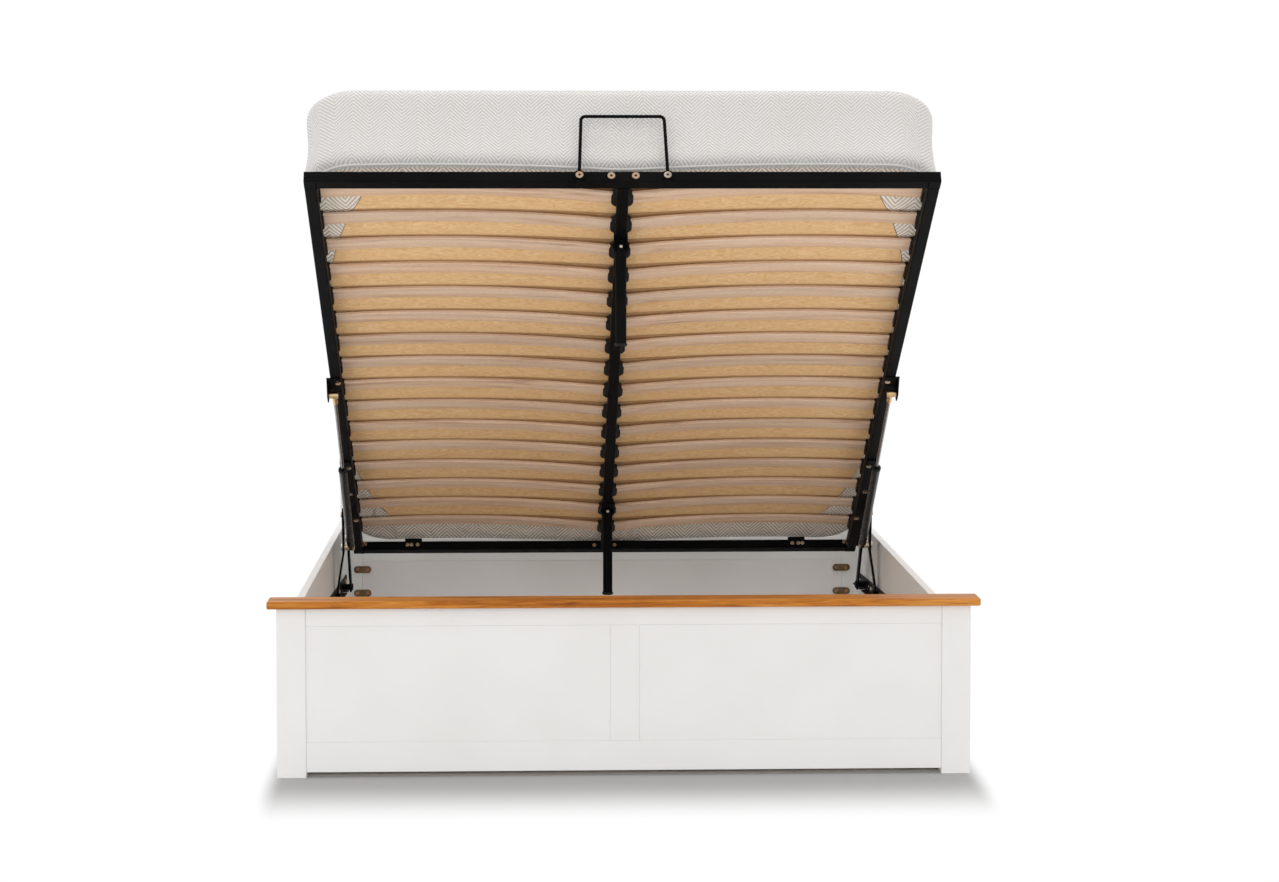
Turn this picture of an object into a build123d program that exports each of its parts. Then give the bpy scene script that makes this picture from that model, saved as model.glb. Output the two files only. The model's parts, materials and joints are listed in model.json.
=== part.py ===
from build123d import *
import os
from math import atan2, cos, degrees, hypot, radians, sin

os.makedirs("parts", exist_ok=True)

# Ottoman storage bed for a double mattress, with its platform raised.
# X runs across the bed, Y from the footboard to the headboard, Z up from the floor.

# Sizes that drive the bed
mattress_width = 1350.0
mattress_length = 1900.0
mattress_thickness = 200.0
side_rail_top = 301.0
footboard_rise = 68.0  # above the side rails
headboard_height = 1060.0
open_tilt = 31.5  # degrees from level
platform_shift = 282.0  # how far the head end moves to the foot when it opens
platform_below_rail = 56.0  # underside of the closed platform under the rails' top

# Gaps round the closed platform
mattress_side_overhang = 10.0
mattress_end_overhang = 10.0
side_gap = 37.0
foot_gap = 40.0
head_gap = 20.0
fit_gap = 0.25  # panels and tongues in their grooves
running_gap = 0.05  # pins in their holes, on the radius
slide_gap = 0.4  # faces that turn or pass beside each other
soft_gap = 0.3
overrun = 20.0  # how far a cutting shape stands past what it cuts

# Timber
post_width = 60.0
post_depth = 45.0
post_edge_radius = 2.0
cap_thickness = 16.0
cap_side_overhang = 19.0
cap_end_overhang = 12.5
cap_edge_radius = 4.0
floor_gap = 11.0
rail_thickness = 18.0
rail_edge_radius = 2.0
top_member_height = 38.0
bottom_member_height = 62.0
stile_width = 60.0
member_thickness = 22.0
member_setback = 2.0
member_edge = 1.0
panel_thickness = 9.0
panel_setback = 1.5
groove_depth = 8.0
back_panel_top = 185.0
back_panel_thickness = 12.0

# Storage floor
bearer_thickness = 9.0
bearer_width = 70.0
bearer_count = 4
floor_board_thickness = 6.0
floor_board_count = 3
floor_board_gap = 1.0

# Platform frame, in square steel tube
tube_size = 25.0
foot_tube_width = 30.0
tube_wall = 1.5
tube_corner = 2.5
rail_height = 20.0  # of the centre rail, which is lower than the side tubes

# Slats
slat_count = 16
slat_width = 40.0
slat_thickness = 8.0
slat_bow = 14.0
slat_chamfer = 1.5
slat_foot_margin = 57.0
slat_head_margin = 67.0

# Lifting mechanism
strap_thickness = 5.0
strap_width = 28.0
hinge_plate = 4.0
pivot_radius = 5.0
rear_pivot_height = 150.0
front_pivot_height = 162.0
rear_hinge_along = 80.0
rear_hinge_up = 10.0
front_hinge_along = 285.0
front_hinge_up = -15.0
strut_foot_share = 0.6  # of the front arm, from its base pivot
strut_hinge_along = 950.0
strut_hinge_up = -16.0

# Sizes that follow
footboard_height = side_rail_top + footboard_rise
platform_width = mattress_width - 2 * mattress_side_overhang
platform_length = mattress_length - mattress_end_overhang
frame_width = platform_width + 2 * (side_gap + rail_thickness)
inside_length = platform_length + foot_gap + head_gap
half_width = frame_width / 2
half_inside = inside_length / 2
half_platform = platform_width / 2
rail_inside = half_width - rail_thickness
storage_floor_top = bearer_thickness + floor_board_thickness
tilt = radians(open_tilt)
closed_height = side_rail_top - platform_below_rail
closed_head = (half_inside - head_gap, closed_height)
open_head = (closed_head[0] - platform_shift, closed_height)


def side_place(head, angle, along, up):
    """Y and Z of a place on the platform, from its head end and its underside."""
    y = head[0] - along * cos(angle) + up * sin(angle)
    return (y, head[1] + along * sin(angle) + up * cos(angle))


def raised(along, up):
    """Y and Z of a place on the raised platform."""
    return side_place(open_head, tilt, along, up)


def base_pivot(start, end, height):
    """The place at this height that is equally far from both ends of a path."""
    mid_y = (start[0] + end[0]) / 2
    mid_z = (start[1] + end[1]) / 2
    slope = (end[1] - start[1]) / (end[0] - start[0])
    return (mid_y - (height - mid_z) * slope, height)


def between(start, end, share):
    """The place this share of the way from start to end."""
    return (start[0] + (end[0] - start[0]) * share, start[1] + (end[1] - start[1]) * share)


def distance(start, end):
    return hypot(end[0] - start[0], end[1] - start[1])


def heading(start, end):
    """Angle of the line from start to end in the side view, in radians."""
    return atan2(end[1] - start[1], end[0] - start[0])


# Pivots of the four-bar linkage, each as (Y, Z)
rear_hinge = raised(rear_hinge_along, rear_hinge_up)
rear_hinge_closed = side_place(closed_head, 0, rear_hinge_along, rear_hinge_up)
rear_pivot = base_pivot(rear_hinge, rear_hinge_closed, rear_pivot_height)
front_hinge = raised(front_hinge_along, front_hinge_up)
front_hinge_closed = side_place(closed_head, 0, front_hinge_along, front_hinge_up)
front_pivot = base_pivot(front_hinge, front_hinge_closed, front_pivot_height)
strut_foot = between(front_pivot, front_hinge, strut_foot_share)
strut_head = raised(strut_hinge_along, strut_hinge_up)
strut_length = distance(strut_foot, strut_head)

# Places across the bed, outwards from the platform's side tube
web_outside = half_platform + hinge_plate
arm_inside = web_outside + strap_thickness
arm_outside = arm_inside + strap_thickness
base_plate = 3.0
base_inside = rail_inside - base_plate
foot_washer = 4.0
low_arm_outside = base_inside - foot_washer
low_arm_inside = low_arm_outside - strap_thickness

# The platform's own plane: X to the left, Y towards the foot, Z through the mattress
deck = Plane(
    origin=(0, open_head[0], open_head[1]), x_dir=(-1, 0, 0), z_dir=(0, sin(tilt), cos(tilt))
)


def across_deck(along):
    """A plane square to the platform's length: X to the right, Y through the mattress."""
    y, z = raised(along, 0)
    return Plane(origin=(0, y, z), x_dir=(1, 0, 0), z_dir=(0, -cos(tilt), sin(tilt)))


def side_view(x):
    """The side view at this distance across the bed, with Y and Z as its own axes."""
    return Plane.YZ.offset(x)


def keep(name, piece):
    """Label a finished piece and write it."""
    piece.part.label = name
    export_step(piece.part, f"parts/{name}.step")


def mirrored(piece):
    """The left piece that matches a right one."""
    with BuildPart() as other:
        mirror(piece.part, about=Plane.YZ)
    return other


# Footboard and headboard, each a panelled frame between two posts under a cap

def corner_post(side, face_y, height):
    """A post with its show face at face_y."""
    with BuildPart() as post:
        with BuildSketch():
            with Locations((side * (half_width - post_width / 2), face_y + post_depth / 2)):
                Rectangle(post_width, post_depth)
        extrude(amount=height - cap_thickness)
        fillet(post.edges().filter_by(Axis.Z), post_edge_radius)
    return post


def member(face_y, low, high, left, right):
    """A rail or stile of the panelled frame, with eased long edges on its show face."""
    front = face_y + member_setback
    with BuildPart() as timber:
        with BuildSketch(Plane.XZ.offset(-front)):
            with Locations(((left + right) / 2, (low + high) / 2)):
                Rectangle(right - left, high - low)
        extrude(amount=-member_thickness)
        chamfer(timber.faces().sort_by(Axis.Y)[0].edges(), member_edge)
    return timber


def panel_space(face_y, low, high, side, gap):
    """The space of one panel with its tongues, and a gap all round."""
    inner = stile_width / 2 - groove_depth
    outer = half_width - post_width + groove_depth
    depth = panel_thickness + 2 * gap
    front = face_y + member_setback + panel_setback - gap
    with BuildPart(mode=Mode.PRIVATE) as space:
        with BuildSketch(Plane.XZ.offset(-front)):
            with Locations((side * (inner + outer) / 2, (low + high) / 2)):
                Rectangle(
                    outer - inner + 2 * gap, high - low + 2 * groove_depth + 2 * gap
                )
        extrude(amount=-depth)
    return space.part


def grooved(timber, face_y, low, high):
    """The same timber with the grooves that hold the panels."""
    with BuildPart() as cut:
        add(timber.part)
        for side in (-1, 1):
            add(panel_space(face_y, low, high, side, fit_gap), mode=Mode.SUBTRACT)
    return cut


def end_board(name, face_y, height, bottom):
    """All the pieces of the footboard or the headboard."""
    opening = half_width - post_width
    top = height - cap_thickness
    low = bottom + bottom_member_height
    high = top - top_member_height
    for word, side in (("left", -1), ("right", 1)):
        post = grooved(corner_post(side, face_y, height), face_y, low, high)
        keep(f"{name}_{word}_post", post)
    members = (
        ("top_rail", high, top, -opening, opening),
        ("bottom_rail", bottom, low, -opening, opening),
        ("middle_stile", low, high, -stile_width / 2, stile_width / 2),
    )
    for word, bottom_z, top_z, left, right in members:
        timber = member(face_y, bottom_z, top_z, left, right)
        keep(f"{name}_{word}", grooved(timber, face_y, low, high))
    with BuildPart() as panels:
        for side in (-1, 1):
            add(panel_space(face_y, low, high, side, -fit_gap))
    keep(f"{name}_panels", panels)
    with BuildPart() as cap:
        with BuildSketch(Plane.XY.offset(top)):
            with Locations((0, face_y + post_depth / 2)):
                Rectangle(frame_width + 2 * cap_side_overhang, post_depth + 2 * cap_end_overhang)
        extrude(amount=cap_thickness)
        fillet(cap.edges().filter_by(Axis.Z), cap_edge_radius)
        fillet(cap.faces().sort_by(Axis.Z)[-1].edges(), cap_edge_radius)
        chamfer(cap.faces().sort_by(Axis.Z)[0].edges(), cap_edge_radius / 2)
    keep(f"{name}_cap", cap)


end_board("footboard", -half_inside - post_depth, footboard_height, floor_gap)
end_board("headboard", half_inside, headboard_height, back_panel_top)

# Side rails
with BuildPart() as right_side_rail:
    with BuildSketch(Plane.XY.offset(floor_gap)):
        with Locations((half_width - rail_thickness / 2, 0)):
            Rectangle(rail_thickness, inside_length)
    extrude(amount=side_rail_top - floor_gap)
    fillet(right_side_rail.edges().filter_by(Axis.Y), rail_edge_radius)
keep("right_side_rail", right_side_rail)
keep("left_side_rail", mirrored(right_side_rail))

# Back panel of the storage space, between the headboard posts
with BuildPart() as storage_back_panel:
    with BuildSketch(Plane.XZ.offset(-half_inside)):
        with Locations((0, (floor_gap + back_panel_top) / 2)):
            Rectangle(
                frame_width - 2 * post_width - 2 * fit_gap,
                back_panel_top - floor_gap - 2 * fit_gap,
            )
    extrude(amount=-back_panel_thickness)
keep("storage_back_panel", storage_back_panel)

# Mending plates that tie the back panel to the posts
plate_length = 48.0
plate_height = 19.0
plate_thickness = 2.5
plate_hole_radius = 2.4
plate_hole_spacing = 28.0
plate_heights = (97.0, 162.0)
plate_x = half_width - post_width
plate_face = Plane.XZ.offset(-half_inside)
with BuildPart() as mending_plates:
    for height in plate_heights:
        for side in (-1, 1):
            with BuildSketch(plate_face):
                with Locations((side * plate_x, height)):
                    SlotOverall(plate_length, plate_height)
                    with GridLocations(plate_hole_spacing, 0, 2, 1):
                        Circle(plate_hole_radius, mode=Mode.SUBTRACT)
            extrude(amount=plate_thickness)
keep("mending_plates", mending_plates)

# Steel angles in the four corners, between the side rails and the posts
angle_leg = 38.0
angle_thickness = 3.0
angle_height = 60.0
angle_lift = 8.0
angle_hole_radius = 3.0
angle_hole_share = 0.55  # of the leg, from the side rail
with BuildPart() as right_corner_angles:
    with BuildSketch(Plane.XY.offset(storage_floor_top + angle_lift)):
        for end in (-1, 1):
            post_leg = (rail_inside - angle_leg / 2, end * (half_inside - angle_thickness / 2))
            rail_leg = (rail_inside - angle_thickness / 2, end * (half_inside - angle_leg / 2))
            with Locations(post_leg):
                Rectangle(angle_leg, angle_thickness)
            with Locations(rail_leg):
                Rectangle(angle_thickness, angle_leg)
    extrude(amount=angle_height)
    hole_height = storage_floor_top + angle_lift + angle_height / 2
    hole_out = rail_inside - angle_leg * angle_hole_share
    with Locations(Plane.XZ.offset(half_inside + overrun)):
        with Locations(
            (hole_out, hole_height - angle_height / 4), (hole_out, hole_height + angle_height / 4)
        ):
            Cylinder(
                angle_hole_radius, inside_length + 2 * overrun,
                align=(Align.CENTER, Align.CENTER, Align.MAX), mode=Mode.SUBTRACT,
            )
with BuildPart() as corner_angles:
    add(right_corner_angles.part)
    mirror(right_corner_angles.part, about=Plane.YZ)
keep("corner_angles", corner_angles)

# Storage floor
bearer_inset = 160.0
floor_width = 2 * (rail_inside - fit_gap)
floor_length = inside_length - 2 * fit_gap
bearer_spacing = (inside_length - 2 * bearer_inset) / (bearer_count - 1)
with BuildPart() as floor_bearers:
    with BuildSketch():
        with GridLocations(0, bearer_spacing, 1, bearer_count):
            Rectangle(floor_width, bearer_width)
    extrude(amount=bearer_thickness)
keep("floor_bearers", floor_bearers)

board_pitch = (floor_length + floor_board_gap) / floor_board_count
with BuildPart() as storage_floor_boards:
    with BuildSketch(Plane.XY.offset(bearer_thickness)):
        with GridLocations(0, board_pitch, 1, floor_board_count):
            Rectangle(floor_width, board_pitch - floor_board_gap)
    extrude(amount=floor_board_thickness)
keep("storage_floor_boards", storage_floor_boards)

# Base brackets: a long slotted angle on each side rail, with a foot under its middle
base_front_reach = 170.0  # of the plate's end from the front pivot
base_rear_reach = 180.0
base_half = 16.0
base_flange = 14.0
base_flange_margin = 20.0
base_foot_width = 20.0
base_slot = 44.0
base_slot_width = 7.0
base_slot_pitch = 75.0  # about
base_length = distance(front_pivot, rear_pivot)
base_turn = heading(front_pivot, rear_pivot)
base_slope = degrees(base_turn)
base_middle = between(front_pivot, rear_pivot, 1 / 2)
flange_drop = base_half - base_plate / 2


def base_place(reach, drop):
    """A place on a bracket's line, this far from the front pivot to the rear, and below it."""
    y = front_pivot[0] + reach * cos(base_turn) + drop * sin(base_turn)
    return (y, front_pivot[1] + reach * sin(base_turn) - drop * cos(base_turn))


# The flange leaves a gap for the foot of each arm, so it lies in three stretches
flange_stretches = (
    (-base_front_reach, -base_flange_margin),
    (base_flange_margin, base_length - base_flange_margin),
    (base_length + base_flange_margin, base_length + base_rear_reach),
)
base_slot_reaches = []
for near, far in flange_stretches:
    stretch_slots = round((far - near) / base_slot_pitch)
    base_slot_reaches += [
        near + (far - near) * (place + 1 / 2) / stretch_slots for place in range(stretch_slots)
    ]
with BuildPart() as right_mechanism_base:
    with BuildSketch(side_view(base_inside)):
        with Locations(base_place((base_length + base_rear_reach - base_front_reach) / 2, 0)):
            SlotCenterToCenter(
                base_length + base_rear_reach + base_front_reach, 2 * base_half,
                rotation=base_slope,
            )
        with Locations((base_middle[0], (storage_floor_top + base_middle[1]) / 2)):
            Rectangle(base_foot_width, base_middle[1] - storage_floor_top)
    extrude(amount=base_plate)
    with BuildSketch(side_view(base_inside - base_flange)):
        for near, far in flange_stretches:
            with Locations(base_place((near + far) / 2, flange_drop)):
                Rectangle(far - near, base_plate, rotation=base_slope)
    extrude(amount=base_flange)
    with BuildSketch(side_view(base_inside)):
        for reach in base_slot_reaches:
            with Locations(base_place(reach, 0)):
                SlotOverall(base_slot, base_slot_width, rotation=base_slope)
        with Locations(rear_pivot, front_pivot):
            Circle(pivot_radius)
    extrude(amount=base_plate, mode=Mode.SUBTRACT)
keep("right_mechanism_base", right_mechanism_base)
keep("left_mechanism_base", mirrored(right_mechanism_base))


def pin(place, radius, start, end, head_radius, head_start, head_end):
    """A pin across the bed at a side-view place, with a round head on it."""
    with BuildPart(mode=Mode.PRIVATE) as made:
        with BuildSketch(side_view(start)):
            with Locations(place):
                Circle(radius)
        extrude(amount=end - start)
        with BuildSketch(side_view(head_start)):
            with Locations(place):
                Circle(head_radius)
        extrude(amount=head_end - head_start)
    return made.part


def washer(place, start, end):
    """A spacing washer round a pivot pin."""
    with BuildPart(mode=Mode.PRIVATE) as made:
        with BuildSketch(side_view(start)):
            with Locations(place):
                Circle(washer_radius)
                Circle(pivot_radius, mode=Mode.SUBTRACT)
        extrude(amount=end - start)
    return made.part


pin_head = 3.0
pin_head_radius = 9.0
washer_radius = 8.0
with BuildPart() as base_pivot_pins:
    for place, inside in ((rear_pivot, arm_inside), (front_pivot, low_arm_inside)):
        head_face = inside - slide_gap
        add(pin(
            place, pivot_radius, head_face, rail_inside,
            pin_head_radius, head_face - pin_head, head_face,
        ))
        add(washer(place, inside + strap_thickness + slide_gap, base_inside))
    mirror(about=Plane.YZ)
keep("base_pivot_pins", base_pivot_pins)

# Arms: the rear ones are straight straps, the front ones are cranked outwards to the base bracket
bend_shares = (0.1, 0.54)  # where the two bends lie, of the way up the arm


def arm(low, high, low_inside, holes):
    """A strap from a base pivot, at low_inside, to a platform hinge, with holes as (place, radius)."""
    length = distance(low, high)
    turn = degrees(heading(low, high))
    reach = strap_width / 2
    along = (0, high[0] - low[0], high[1] - low[1])
    edge_on = Plane(origin=(0, low[0], low[1]), x_dir=along, z_dir=(0, along[2], -along[1]))
    bend_start, bend_end = (length * share for share in bend_shares)
    low_outside = low_inside + strap_thickness
    crank = (
        (-reach, low_inside), (bend_start, low_inside), (bend_end, arm_inside),
        (length + reach, arm_inside), (length + reach, arm_outside), (bend_end, arm_outside),
        (bend_start, low_outside), (-reach, low_outside),
    )
    with BuildPart() as strap:
        with BuildSketch(side_view(arm_inside)):
            with Locations(between(low, high, 1 / 2)):
                SlotCenterToCenter(length, strap_width, rotation=turn)
        extrude(amount=low_outside - arm_inside)
        with BuildSketch(edge_on):
            with BuildLine():
                Polyline(*crank, close=True)
            make_face()
        extrude(amount=strap_width, both=True, mode=Mode.INTERSECT)
        with BuildSketch(side_view(arm_inside - overrun)):
            for place, radius in holes:
                with Locations(place):
                    Circle(radius)
        extrude(amount=low_outside - arm_inside + 2 * overrun, mode=Mode.SUBTRACT)
    return strap


running_hole = pivot_radius + running_gap
right_rear_arm = arm(
    rear_pivot, rear_hinge, arm_inside,
    ((rear_pivot, running_hole), (rear_hinge, running_hole)),
)
keep("right_rear_arm", right_rear_arm)
keep("left_rear_arm", mirrored(right_rear_arm))

stud_radius = 4.0
right_front_arm = arm(
    front_pivot, front_hinge, low_arm_inside,
    ((front_pivot, running_hole), (front_hinge, pivot_radius), (strut_foot, stud_radius)),
)
keep("right_front_arm", right_front_arm)
keep("left_front_arm", mirrored(right_front_arm))

# Pins on each front arm: one that meets the hinge angle, one that carries the strut
strut_radius = 10.0
strut_side_gap = 7.0
eye_radius = 9.0
eye_width = 9.0
stud_nut = 4.0
stud_nut_radius = 8.0
strut_x = arm_inside - strut_side_gap - strut_radius
eye_inside = strut_x - eye_width / 2
eye_outside = strut_x + eye_width / 2
stud_end = eye_inside - slide_gap - stud_nut
with BuildPart() as front_arm_pins:
    add(pin(
        front_hinge, pivot_radius, web_outside + slide_gap, arm_outside,
        pin_head_radius, arm_outside, arm_outside + pin_head,
    ))
    add(washer(front_hinge, web_outside + slide_gap, arm_inside))
    add(pin(
        strut_foot, stud_radius, stud_end, arm_outside,
        pin_head_radius, arm_outside, arm_outside + pin_head,
    ))
    add(pin(
        strut_foot, stud_radius, stud_end, arm_inside,
        stud_nut_radius, stud_end, stud_end + stud_nut,
    ))
    add(pin(
        strut_foot, stud_radius, stud_end, arm_inside,
        stud_nut_radius, eye_outside + slide_gap, arm_inside,
    ))
    mirror(about=Plane.YZ)
keep("front_arm_pins", front_arm_pins)

# Gas struts
strut_wall = 1.6
rod_radius = 4.0
rod_gap = 0.1
piston_gap = 0.3
piston_length = 12.0
gland_length = 14.0
cylinder_length = 376.0
eye_neck_radius = 5.0
rod_end_length = 34.0
rod_end_radius = 6.0
piston_rest = 26.0  # from the gland to the piston when the strut is out
strut_turn = heading(strut_foot, strut_head)
strut_line = (0, cos(strut_turn), sin(strut_turn))
strut_axis = Axis((strut_x, *strut_foot), strut_line)
strut_plane = Plane(
    origin=(strut_x, *strut_foot), x_dir=strut_line, z_dir=(0, strut_line[2], -strut_line[1])
)
cylinder_end = eye_radius + cylinder_length
bore_start = eye_radius + gland_length
bore_end = cylinder_end - gland_length
bore_radius = strut_radius - strut_wall
with BuildPart() as right_strut_cylinder:
    with BuildSketch(strut_plane):
        with BuildLine():
            Polyline(
                (0, 0), (0, eye_neck_radius), (eye_radius, eye_neck_radius),
                (eye_radius, strut_radius), (cylinder_end, strut_radius),
                (cylinder_end, rod_radius + rod_gap), (bore_end, rod_radius + rod_gap),
                (bore_end, bore_radius), (bore_start, bore_radius), (bore_start, 0), close=True,
            )
        make_face()
    revolve(axis=strut_axis)
    chamfer(right_strut_cylinder.edges().filter_by(GeomType.CIRCLE).sort_by(
        lambda edge: edge.radius)[-2:], strut_wall)
    with BuildSketch(side_view(eye_inside)):
        with Locations(strut_foot):
            Circle(eye_radius)
    extrude(amount=eye_width)
    with BuildSketch(side_view(eye_inside)):
        with Locations(strut_foot):
            Circle(stud_radius + running_gap)
    extrude(amount=eye_width, mode=Mode.SUBTRACT)
    for start, stop in ((eye_inside - overrun, eye_inside), (eye_outside, eye_outside + overrun)):
        with BuildSketch(side_view(start)):
            with Locations(strut_foot):
                Circle(eye_radius)
        extrude(amount=stop - start, mode=Mode.SUBTRACT)
keep("right_strut_cylinder", right_strut_cylinder)
keep("left_strut_cylinder", mirrored(right_strut_cylinder))

rod_end_start = strut_length - rod_end_length
piston_end = bore_end - piston_rest
piston_start = piston_end - piston_length
piston_radius = bore_radius - piston_gap
with BuildPart() as right_strut_rod:
    with BuildSketch(strut_plane):
        with BuildLine():
            Polyline(
                (piston_start, 0), (piston_start, piston_radius), (piston_end, piston_radius),
                (piston_end, rod_radius), (rod_end_start, rod_radius), (rod_end_start, 0), close=True,
            )
        make_face()
    revolve(axis=strut_axis)
keep("right_strut_rod", right_strut_rod)
keep("left_strut_rod", mirrored(right_strut_rod))

bracket_plate = 3.0
lug_inside = arm_inside - bracket_plate - slide_gap
with BuildPart() as right_rod_end:
    with BuildSketch(strut_plane):
        with BuildLine():
            Polyline(
                (rod_end_start, 0), (rod_end_start, rod_end_radius),
                (strut_length, rod_end_radius), (strut_length, 0), close=True,
            )
        make_face()
    revolve(axis=strut_axis)
    with BuildSketch(side_view(eye_inside)):
        with Locations(strut_head):
            Circle(eye_radius)
    extrude(amount=eye_width)
    for start, stop in ((eye_inside - overrun, eye_inside), (eye_outside, eye_outside + overrun)):
        with BuildSketch(side_view(start)):
            with Locations(strut_head):
                Circle(eye_radius)
        extrude(amount=stop - start, mode=Mode.SUBTRACT)
    with BuildSketch(side_view(eye_inside)):
        with Locations(strut_head):
            Circle(stud_radius)
    extrude(amount=eye_width, mode=Mode.SUBTRACT)
with BuildPart() as strut_rod_ends:
    add(right_rod_end.part)
    mirror(right_rod_end.part, about=Plane.YZ)
keep("strut_rod_ends", strut_rod_ends)

with BuildPart() as strut_head_studs:
    stud_face = lug_inside - slide_gap
    add(pin(
        strut_head, stud_radius, eye_inside - stud_nut, stud_face,
        stud_nut_radius, eye_inside - stud_nut, eye_inside,
    ))
    add(pin(
        strut_head, stud_radius, eye_inside - stud_nut, stud_face,
        stud_nut_radius, eye_outside, stud_face,
    ))
    mirror(about=Plane.YZ)
keep("strut_head_studs", strut_head_studs)


# Platform frame

def deck_side(x):
    """The platform from the side: X towards its head end, Y up through the mattress."""
    return Plane(
        origin=(x, open_head[0], open_head[1]), x_dir=(0, cos(tilt), -sin(tilt)), z_dir=(1, 0, 0)
    )


def hollow(plane, centre, width, height, length):
    """A length of rectangular tube."""
    with BuildPart(mode=Mode.PRIVATE) as made:
        with BuildSketch(plane):
            with Locations(centre):
                RectangleRounded(width, height, tube_corner)
                RectangleRounded(
                    width - 2 * tube_wall, height - 2 * tube_wall, tube_corner - tube_wall,
                    mode=Mode.SUBTRACT,
                )
        extrude(amount=length)
    return made.part


# Bolts under each side tube, as (in from its outer face, along the platform)
hinge_bolt_places = ((17.0, 533.0), (12.0, 384.0), (18.0, 224.0))
bracket_bolt_places = ((18.0, 990.0),)
tube_bolt_radius = 3.0
tube_bolt_head_radius = 6.5
tube_bolt_head = 4.0
tube_bolt_reach = 6.0

# Screws on the foot side of the head tube
screw_radius = 2.5
screw_head_radius = 5.5
screw_head = 2.5
screw_head_taper = 35.0
screw_reach = 8.0
corner_screw_gap = 6.0  # inwards from the side tube
corner_screw_up = 18.0
bracket_screw_up = 13.5
bracket_screw_places = (-11.0, 5.0, 16.0)  # outwards from the bracket's middle
tube_bracket_x = 507.0
head_screws = [(half_platform - tube_size - corner_screw_gap, corner_screw_up, 0)]
head_screws += [(tube_bracket_x + out, bracket_screw_up, bracket_plate) for out in bracket_screw_places]


def under_tube(places, radius):
    """Circles at bolt places under the right side tube."""
    for inwards, along in places:
        with Locations((inwards - half_platform, along)):
            Circle(radius)


def screw_circles(radius):
    """Circles at the screws on the right half of the head tube."""
    for x, up, seat in head_screws:
        with Locations((x, up)):
            Circle(radius)


side_tube_x = half_platform - tube_size / 2
foot_tube_inside = platform_length - foot_tube_width
with BuildPart() as right_side_tube:
    add(hollow(across_deck(0), (side_tube_x, tube_size / 2), tube_size, tube_size, foot_tube_inside))
    with BuildSketch(deck.offset(-overrun)):
        under_tube(hinge_bolt_places + bracket_bolt_places, tube_bolt_radius)
    extrude(amount=overrun + tube_bolt_reach, mode=Mode.SUBTRACT)
keep("right_side_tube", right_side_tube)
keep("left_side_tube", mirrored(right_side_tube))

bolt_radius = 4.0
bolt_head_radius = 8.0
bolt_head = 4.0
socket_radius = 2.9
socket_depth = 2.5
handle_half_foot = 92.0
handle_half_top = 87.5
handle_height = 145.0
handle_rod = 3.5
handle_corner = 10.0
handle_eye_radius = 13.0
handle_eye = 3.5
handle_standoff = 4.5
rail_bolt_x = 25.5
bolt_up = tube_size / 2
with BuildPart() as foot_tube:
    add(hollow(
        deck_side(-half_platform), (-(platform_length - foot_tube_width / 2), tube_size / 2),
        foot_tube_width, tube_size, platform_width,
    ))
    with BuildSketch(across_deck(foot_tube_inside - overrun)):
        for x in (handle_half_foot, rail_bolt_x):
            with Locations((-x, bolt_up), (x, bolt_up)):
                Circle(bolt_radius)
    extrude(amount=foot_tube_width + 2 * overrun, mode=Mode.SUBTRACT)
keep("foot_tube", foot_tube)

with BuildPart() as head_tube:
    add(hollow(
        deck_side(-half_platform + tube_size), (-tube_size / 2, tube_size / 2),
        tube_size, tube_size, platform_width - 2 * tube_size,
    ))
    with BuildSketch(across_deck(tube_size - screw_reach)):
        screw_circles(screw_radius)
        mirror(about=Plane.YZ)
    extrude(amount=screw_reach + overrun, mode=Mode.SUBTRACT)
keep("head_tube", head_tube)

with BuildPart() as centre_rail:
    add(hollow(
        across_deck(tube_size), (0, rail_height / 2), tube_size, rail_height,
        foot_tube_inside - tube_size,
    ))
keep("centre_rail", centre_rail)

with BuildPart() as foot_tube_bolts:
    for x, seat in ((handle_half_foot, handle_eye), (rail_bolt_x, 0)):
        with BuildSketch(across_deck(foot_tube_inside)):
            with Locations((-x, bolt_up), (x, bolt_up)):
                Circle(bolt_radius)
        extrude(amount=foot_tube_width + seat)
        with BuildSketch(across_deck(platform_length + seat)):
            with Locations((-x, bolt_up), (x, bolt_up)):
                Circle(bolt_head_radius)
        extrude(amount=bolt_head)
        with BuildSketch(across_deck(platform_length + seat + bolt_head - socket_depth)):
            with Locations((-x, bolt_up), (x, bolt_up)):
                RegularPolygon(socket_radius, 6)
        extrude(amount=socket_depth, mode=Mode.SUBTRACT)
keep("foot_tube_bolts", foot_tube_bolts)

# Pull handle: a bent rod with flattened eyes under the two outer bolts
with BuildPart() as pull_handle:
    with BuildLine(across_deck(platform_length + handle_standoff)) as handle_path:
        FilletPolyline(
            (-handle_half_foot, bolt_up + bolt_head_radius + handle_rod),
            (-handle_half_top, bolt_up + handle_height),
            (handle_half_top, bolt_up + handle_height),
            (handle_half_foot, bolt_up + bolt_head_radius + handle_rod),
            radius=handle_corner,
        )
    with BuildSketch(Plane(origin=handle_path.line @ 0, z_dir=handle_path.line % 0)):
        Circle(handle_rod)
    sweep()
    with BuildSketch(across_deck(platform_length)):
        for x in (-handle_half_foot, handle_half_foot):
            with Locations((x, bolt_up)):
                Circle(handle_eye_radius)
                Circle(bolt_radius, mode=Mode.SUBTRACT)
    extrude(amount=handle_eye)
keep("pull_handle", pull_handle)

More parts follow.
